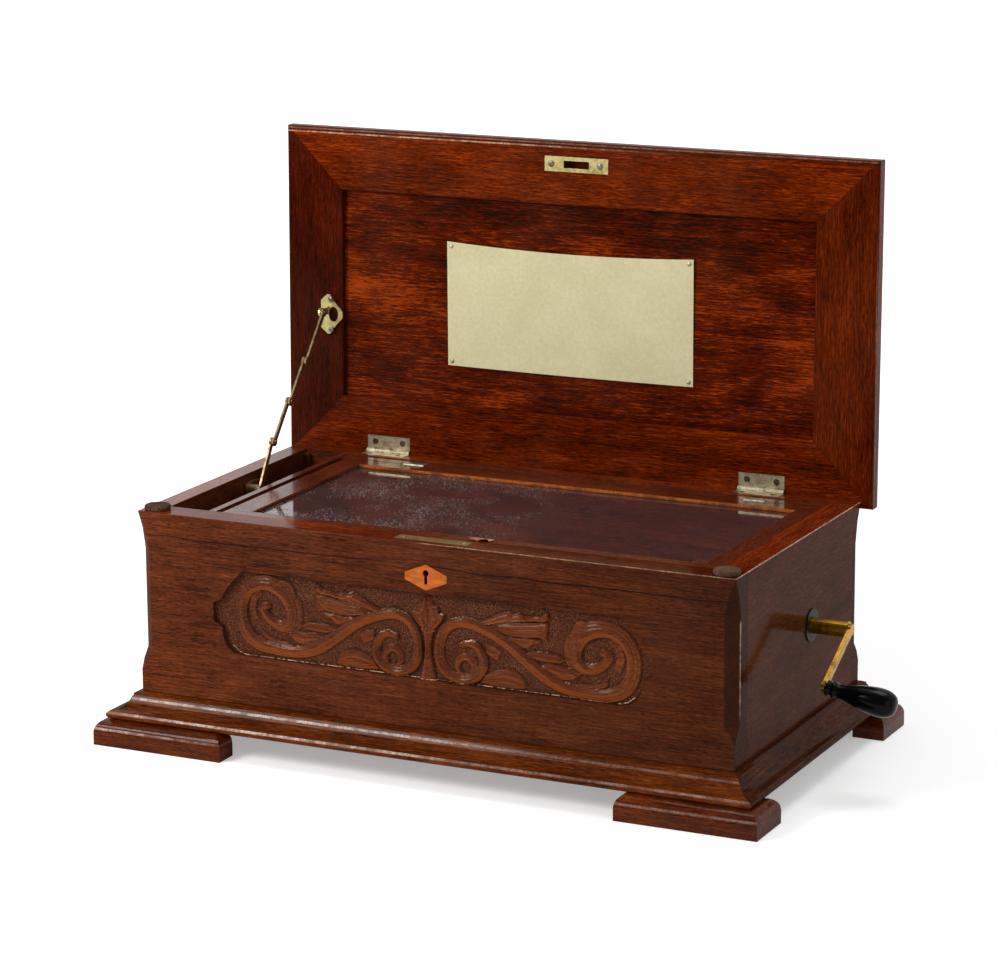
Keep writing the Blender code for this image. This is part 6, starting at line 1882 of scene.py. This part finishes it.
@dataclass
class Lid(Fitted):
    """The open lid with its frame, panel, hinges, strike plate and paper card."""

    screw: float = 0.0031
    strike_insets: Point = (0.0070, 0.0083)
    leaf_insets: Point = (0.0085, 0.0080)
    lid_row: float = 0.0062
    case_row: float = 0.0048
    flush_gap: float = 0.00001
    flush_head: Triple = (0.062, 0.26, 0.004)
    card_columns: int = 72
    card_rows: int = 36
    card_thickness: float = 0.0003
    sag: float = 0.0042
    stand_off: float = 0.0030
    card_pin: float = 0.0022
    card_pin_inset: float = 0.0045

    def build(self) -> None:
        """Dresses the lid and adds its card and screws."""
        Workshop.dress(LID_FRAME_X, "lid_rail_front", "lid_rail_back")
        Workshop.dress(LID_LEFT, "lid_rail_left")
        Workshop.dress(LID_RIGHT, "lid_rail_right")
        Workshop.dress(LID_PANEL, "lid_panel")
        Workshop.dress(PLATE_BRASS, "strike_plate")
        for leaf in ("lid_hinge_leaf", "case_hinge_leaf"):
            Workshop.dress(HINGE_BRASS, f"{leaf}_left", f"{leaf}_right")
        low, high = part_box("strike_plate")
        z = (low.z + high.z) / 2
        ends = (low.x + self.strike_insets[0], high.x - self.strike_insets[1])
        places = [((x, low.y - 0.00002, z), FORWARD) for x in ends]
        look = (self.screw, SCREW, "lid", "hinge_brass", 5)
        self.screws.place("strike_screws", slotted_head(), places, *look)
        self.leaf_screws("lid")
        self.leaf_screws("case")
        self.card()
        LOG.info("lid: dressed, with its card, hinges and strike plate")

    def leaf_screws(self, body: str) -> None:
        """Sets the flush screws of the hinge leaves on the lid or on the case.

        Args:
            body: The body, lid or case.
        """
        places = []
        for side in ("left", "right"):
            node = f"{body}_hinge_leaf_{side}"
            low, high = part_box(node)
            for x in (low.x + self.leaf_insets[0], high.x - self.leaf_insets[1]):
                start, way = (x, low.y - 0.02, high.z - self.lid_row), BACKWARD
                if body == "case":
                    start, way = (x, low.y + self.case_row, high.z + 0.02), DOWN
                places.append(Workshop.seat(node, start, way, self.flush_gap))
        size, seed = {"lid": (self.screw, 5), "case": (self.screw * 0.85, 6)}[body]
        head = slotted_head(*self.flush_head)
        look = (size, LEAF_SCREW, body, "hinge_brass", seed)
        self.screws.place(f"{body}_leaf_screws", head, places, *look)

    def card(self) -> None:
        """Makes the blank card, pinned at its corners, sagging at the top edge."""
        low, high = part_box("lid_card")
        columns, rows = self.card_columns, self.card_rows
        vertices = []
        for layer in (0.0, self.card_thickness):
            for j in range(rows + 1):
                for i in range(columns + 1):
                    u, v = i / columns, j / rows
                    arch, rise = math.sin(math.pi * u), math.sin(math.pi * v)
                    droop = self.sag * (4 * u * (1 - u)) * (v**3)
                    out = self.stand_off * (4 * u * (1 - u)) ** 1.2 * (1 - v) ** 2.2
                    out += 0.0012 * arch * rise
                    out += 0.0004 * math.sin(5 * u + 2 * v) * arch * rise
                    x = low.x + u * (high.x - low.x)
                    z = low.z + v * (high.z - low.z) - droop
                    vertices.append((x, low.y - max(out, 0.0) + layer, z))
        mesh = sheet("card", columns, rows, vertices)
        Workshop.add("blank_card", mesh, CARD, "lid", "card", ("lid_card",))
        inset = self.card_pin_inset
        pins = [
            ((x, low.y - 0.0002, z), FORWARD)
            for x in (low.x + inset, high.x - inset)
            for z in (low.z + inset, high.z - inset)
        ]
        look = (self.card_pin, HINGE_BRASS, "lid", "hinge_brass", 2)
        self.screws.place("card_pins", round_head(0.45), pins, *look)


@dataclass
class Stay(Fitted):
    """The folding stay at the lid's left, from its plate down to the bracket."""

    rivet: float = 0.0021
    screw: float = 0.0028
    screw_inset: float = 0.0045
    plate_rise: float = 0.0021

    def build(self) -> None:
        """Dresses the stay and sets its screws and rivets."""
        links = [f"stay_link_{number}" for number in (1, 2, 3, 4)]
        Workshop.dress(PLATE_BRASS, "stay_plate")
        Workshop.dress(STAY_BRASS, "stay_bracket", *links)
        low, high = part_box("stay_plate")
        x, y = (low.x + high.x) / 2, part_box("lid_rail_left")[0].y - self.plate_rise
        heights = (low.z + self.screw_inset, high.z - self.screw_inset)
        places = [((x, y, z), FORWARD) for z in heights]
        look = (self.screw, SCREW, "lid", "hinge_brass", 9)
        self.screws.place("stay_screws", slotted_head(), places, *look)
        self.rivets(links)
        LOG.info("stay: 6 pieces dressed, 2 screws, 8 rivets")

    def rivets(self, links: list[str]) -> None:
        """Sets a rivet's head on each side of each pivot.

        Args:
            links: The links from the lid down, each of which is a body and a node.
        """
        boxes = [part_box(link) for link in links]
        eye = (boxes[1][1].y - boxes[0][0].y) / 2
        pivots = [(boxes[0][1].y - eye, boxes[0][1].z - eye)]
        for upper, lower in zip(boxes, boxes[1:]):
            pivots.append(((upper[0].y + lower[1].y) / 2, (upper[0].z + lower[1].z) / 2))
        pivots.append((boxes[3][0].y + eye, boxes[3][0].z + eye))
        for number, (link, (low, high)) in enumerate(zip(links, boxes)):
            right, left = (high.x, *pivots[number]), (low.x, *pivots[number + 1])
            places = [(right, (1, 0, 0)), (left, (-1, 0, 0))]
            look = (self.rivet, STAY_BRASS, link, "hinge_brass", 8)
            self.screws.place(f"rivets_{link}", round_head(0.55, 16), places, *look)


@dataclass
class GlassLid(Fitted):
    """The inner glazed lid with its tab and hinges."""

    screw: float = 0.0014
    screw_row: float = 0.0044
    screw_inset: float = 0.005
    tab_columns: int = 26
    tab_rows: int = 16
    tab_thickness: float = 0.0008

    def tab(self) -> Mesh:
        """The worn leather tab, nailed at its back and curled up along its front.

        Returns:
            The mesh.
        """
        low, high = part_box("pull_tab")
        columns, rows = self.tab_columns, self.tab_rows
        rise = high.z - low.z - self.tab_thickness
        vertices = []
        for layer in (1.0, 0.0):
            for j in range(rows + 1):
                for i in range(columns + 1):
                    u, v = i / columns, j / rows
                    wave = 0.62 + 0.28 * math.sin(9 * u + 1) + 0.10 * math.sin(23 * u)
                    curl = (1 - v) ** 1.6 * wave
                    ragged = 0.0009 * math.sin(13 * u + 2) * (1 - v)
                    y = low.y + 0.0010 + ragged + v * (high.y - low.y - 0.0010) + 0.0022 * curl
                    z = low.z + curl * rise * 0.98 + layer * self.tab_thickness
                    vertices.append((low.x + u * (high.x - low.x), y, min(z, high.z)))
        return sheet("curled_tab", columns, rows, vertices)

    def build(self) -> None:
        """Dresses the glass lid and sets its hinge screws."""
        Workshop.dress(INSIDE_X, "glass_rail_front", "glass_rail_back")
        Workshop.dress(INSIDE_Y, "glass_rail_left", "glass_rail_right")
        Workshop.dress(PANE, "glass_pane")
        Workshop.add("curled_tab", self.tab(), LEATHER, "glass_lid", "leather", ("pull_tab",), 60.0)
        for side in ("left", "right"):
            for leaf, body, seed in (("glass", "glass_lid", 12), ("strip", "case", 13)):
                node = f"{leaf}_hinge_leaf_{side}"
                Workshop.dress(HINGE_BRASS, node)
                low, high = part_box(node)
                y = low.y + self.screw_row if leaf == "glass" else high.y - self.screw_row
                ends = (low.x + self.screw_inset, high.x - self.screw_inset)
                places = [Workshop.seat(node, (x, y, high.z + 0.02), DOWN) for x in ends]
                look = (self.screw, SCREW, body, "hinge_brass", seed)
                self.screws.place(f"{leaf}_leaf_screws_{side}", slotted_head(), places, *look)
        LOG.info("glass lid: dressed, with its tab and 8 screws")


@dataclass
class Crank:
    """The winding crank at the right-hand end."""

    grip_steps: int = 64
    arm_tip: Triple = (0.3381, -0.03711, 0.09896)
    arm_edge: float = 0.0004
    from_arm: float = 0.002865
    droop: float = math.radians(8.5)
    grip_length: float = 0.0665
    grip_radius: float = 0.0130
    # Shares of the radius and of the length: the grip from its end down, and its turned neck
    BELLY = (
        (0.0, 1.0), (0.39, 0.991), (0.69, 0.957), (0.92, 0.878), (1.00, 0.786), (0.985, 0.671),
        (0.862, 0.514), (0.677, 0.371), (0.538, 0.257), (0.477, 0.171),
    )
    NECK = (
        (0.53, 0.140), (0.575, 0.118), (0.58, 0.098), (0.52, 0.078), (0.46, 0.066), (0.50, 0.054),
        (0.545, 0.043), (0.55, 0.004), (0.53, 0.0),
    )

    def grip(self) -> Mesh:
        """The turned grip, smooth along its length, on the spindle's drooping axis.

        Returns:
            The mesh.
        """
        belly, neck = (
            [(r * self.grip_radius, z * self.grip_length) for r, z in shares]
            for shares in (self.BELLY, self.NECK)
        )
        profile = [(max(r, 0.0), z) for r, z in smooth_line(belly, 48).tolist()]
        profile[0] = (0.0, self.grip_length)
        profile += [*neck, (0.0, 0.0)]
        tip = Vector(self.arm_tip) + Vector((CASE_MIDDLE, 0.0, 0.0))
        along = Vector((math.cos(self.droop), 0.0, -math.sin(self.droop)))
        aim = Matrix.Rotation(math.pi / 2 + self.droop, 4, "Y")
        place = Matrix.Translation(tip + along * self.from_arm) @ aim
        return lathe(profile, self.grip_steps, place)

    def build(self) -> None:
        """Dresses the crank and turns its grip."""
        Workshop.dress(IRON, "crank_washer")
        Workshop.dress(BRASS, "winding_shaft")
        Workshop.dress(BRASS, "crank_arm", soften=self.arm_edge)
        Workshop.add("turned_grip", self.grip(), EBONISED, "grip", "black_wood", ("crank_grip",))
        LOG.info("crank: dressed, grip turned")


@dataclass
class Movement(Fitted):
    """The comb, cylinder, spring barrel and governor under the glass."""

    pin: float = 0.00032
    pin_pitch: float = 0.0040
    pins_per_row: int = 16
    pin_seed: int = 5
    cylinder_radius: float = 0.028
    comb_screw: float = 0.0030
    comb_screws: int = 9
    comb_insets: Point = (0.010, 0.007)
    bed_screw: float = 0.0042
    bed_inset: float = 0.007

    def pins(self) -> int:
        """Studs the cylinder with the rows of pins that pluck the comb.

        Returns:
            How many pins there are.
        """
        low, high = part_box("pin_cylinder")
        comb_low, comb_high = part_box("comb")
        y, z = (low.y + high.y) / 2, (low.z + high.z) / 2
        radius = self.cylinder_radius
        random = np.random.default_rng(self.pin_seed)
        places = []
        for row in range(int((comb_high.x - comb_low.x - 0.008) / self.pin_pitch)):
            x = comb_low.x + 0.006 + row * self.pin_pitch
            for angle in random.uniform(0.0, 2 * math.pi, self.pins_per_row).tolist():
                out = (0.0, math.cos(angle), math.sin(angle))
                places.append(((x, y + radius * out[1], z + radius * out[2]), out))
        head = lathe([(0.0, -0.4), (1.0, -0.4), (0.8, 1.2), (0.0, 1.3)], 5, Matrix.Identity(4))
        look = (self.pin, STEEL, "cylinder", "comb_steel", 21)
        self.screws.place("cylinder_pins", head, places, *look)
        return len(places)

    def build(self) -> None:
        """Dresses the movement and studs the cylinder with pins."""
        Workshop.dress(MOVEMENT_BRASS, "bedplate", "pin_cylinder", "spring_barrel")
        Workshop.dress(MOVEMENT_BRASS, "governor_wheel", "governor_fan")
        Workshop.dress(STEEL, "comb", "play_lever", "governor_frame", "barrel_frame")
        low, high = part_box("comb")
        inset, back = self.comb_insets
        last = self.comb_screws - 1
        run = high.x - low.x - 2 * inset
        places = [
            ((low.x + inset + run * i / last, low.y + back, high.z), UP) for i in range(last + 1)
        ]
        look = (self.comb_screw, STEEL, "case", "comb_steel", 4)
        self.screws.place("comb_screws", slotted_head(), places, *look)
        low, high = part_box("bedplate")
        inset = self.bed_inset
        seats = [
            Workshop.seat("bedplate", (x, y, 0.3), DOWN)
            for x in (low.x + inset, high.x - inset)
            for y in (low.y + inset, high.y - inset)
        ]
        look = (self.bed_screw, STEEL, "case", "comb_steel", 14)
        self.screws.place("bedplate_screws", slotted_head(), seats, *look)
        LOG.info("movement: 9 pieces dressed, 13 screws, %d pins", self.pins())


@dataclass(frozen=True)
class Lamp:
    """A square soft lamp, aimed at a point."""

    name: str
    place: Triple
    aim: Triple
    size: float
    power: float

    def build(self) -> None:
        """Hangs the lamp."""
        data = bpy.data.lights.new(self.name, "AREA")
        data.energy = self.power
        data.shape = "SQUARE"
        data.size = self.size
        lamp = placed(self.name, data)
        lamp.location = self.place
        way = Vector(self.aim) - Vector(self.place)
        lamp.rotation_euler = way.to_track_quat("-Z", "Y").to_euler()


@dataclass
class Studio:
    """Floor, lamps, world and camera."""

    floor_size: float = 30.0
    world_level: float = 0.42
    room_level: float = 0.15
    camera_place: Triple = (1.4483, -2.9954, 1.0391)
    camera_turn: Triple = (76.84, 25.95, -0.39)
    lens: float = 132.24
    shifts: Point = (0.0094, -0.0151)

    LAMPS = (
        Lamp("key", (-1.1, -1.35, 1.2), (-0.1, 0.0, 0.2), 0.7, 22.0),
        Lamp("fill", (2.6, -2.0, 1.3), (0.0, 0.0, 0.2), 1.8, 9.0),
        Lamp("top", (0.2, 0.4, 2.9), (0.0, 0.0, 0.2), 1.4, 28.0),
    )

    def floor(self) -> None:
        """A wide pale floor that stays out of the object."""
        mesh = bpy.data.meshes.new("floor")
        corners = [(x, y, 0) for x, y in ((-1, -1), (1, -1), (1, 1), (-1, 1))]
        mesh.from_pydata([Vector(c) * self.floor_size for c in corners], [], [(0, 1, 2, 3)])
        floor = placed("floor", mesh)
        material, w, shader, place = new_material("floor")
        path = w.node("ShaderNodeLightPath").outputs
        mirrored = w.times(path["Is Glossy Ray"], w.span(w.split(place)[Y], -0.3, 0.3))
        seen = w.larger(path["Is Camera Ray"], mirrored)
        seen = w.larger(seen, path["Is Transmission Ray"])
        away = w.node("ShaderNodeVectorMath", operation="LENGTH")
        w.feed(away.inputs[0], place)
        glow = w.span(away.outputs["Value"], 0.5, 2.2, 0.35, 1.0)
        looks = {
            "Base Color": (0.93, 0.93, 0.93, 1.0),
            "Roughness": 0.9,
            "Specular IOR Level": 0.0,
            "Emission Color": (1.0, 1.0, 1.0, 1.0),
            "Emission Strength": w.times(seen, glow),
        }
        w.fill(shader, looks)
        mesh.materials.append(material)

    def world(self) -> None:
        """A white surround, dimmer behind the camera in reflections, and a level one for light."""
        world = bpy.data.worlds.new("studio")
        bpy.context.scene.world = world
        world.use_nodes = True
        world.node_tree.nodes.clear()
        w = Wiring(world.node_tree)
        path = w.node("ShaderNodeLightPath").outputs
        seen = w.larger(path["Is Camera Ray"], path["Is Transmission Ray"])
        depth = w.split(w.node("ShaderNodeTexCoord").outputs["Generated"])[Y]
        room = w.span(depth, -0.4, 0.1, self.room_level, 1.0)
        glossy = w.times(path["Is Glossy Ray"], w.minus(room, self.world_level))
        bright = w.times(seen, 1.0 - self.world_level)
        strength = w.plus(w.plus(bright, glossy), self.world_level)
        background = w.node("ShaderNodeBackground")
        w.fill(background.inputs, {"Color": (1, 1, 1, 1), "Strength": strength})
        w.feed(w.node("ShaderNodeOutputWorld").inputs["Surface"], background.outputs[0])

    def camera(self) -> None:
        """The camera at the photograph's place."""
        data = bpy.data.cameras.new("camera")
        data.sensor_width = 36.0
        data.sensor_fit = "HORIZONTAL"
        data.lens = self.lens
        data.shift_x, data.shift_y = self.shifts
        data.clip_end = 100.0
        camera = placed("camera", data)
        tilt, pan, roll = (math.radians(turn) for turn in self.camera_turn)
        turn = Euler((tilt, 0.0, pan)).to_matrix() @ Matrix.Rotation(roll, 3, "Z")
        x, y, z = self.camera_place
        camera.matrix_world = Matrix.Translation((CASE_MIDDLE + x, y, z)) @ turn.to_4x4()
        bpy.context.scene.camera = camera

    def build(self) -> None:
        """Sets up everything that isn't part of the object."""
        self.floor()
        self.world()
        for lamp in self.LAMPS:
            lamp.build()
        self.camera()
        bpy.context.scene.view_settings.view_transform = "Standard"
        LOG.info("studio: floor, world, %d lamps, camera", len(self.LAMPS))


def main() -> None:
    """Builds the pieces in order."""
    logging.basicConfig(level=logging.INFO, format="%(name)s: %(message)s")
    screws = ScrewTree()
    Studio().build()
    Case().build()
    CarvedPanel().build()
    Pads().build()
    for part in (Lock, Lid, Stay, GlassLid):
        part(screws).build()
    Crank().build()
    Movement(screws).build()
    LOG.info("finished")


if __name__ == "__main__":
    main()
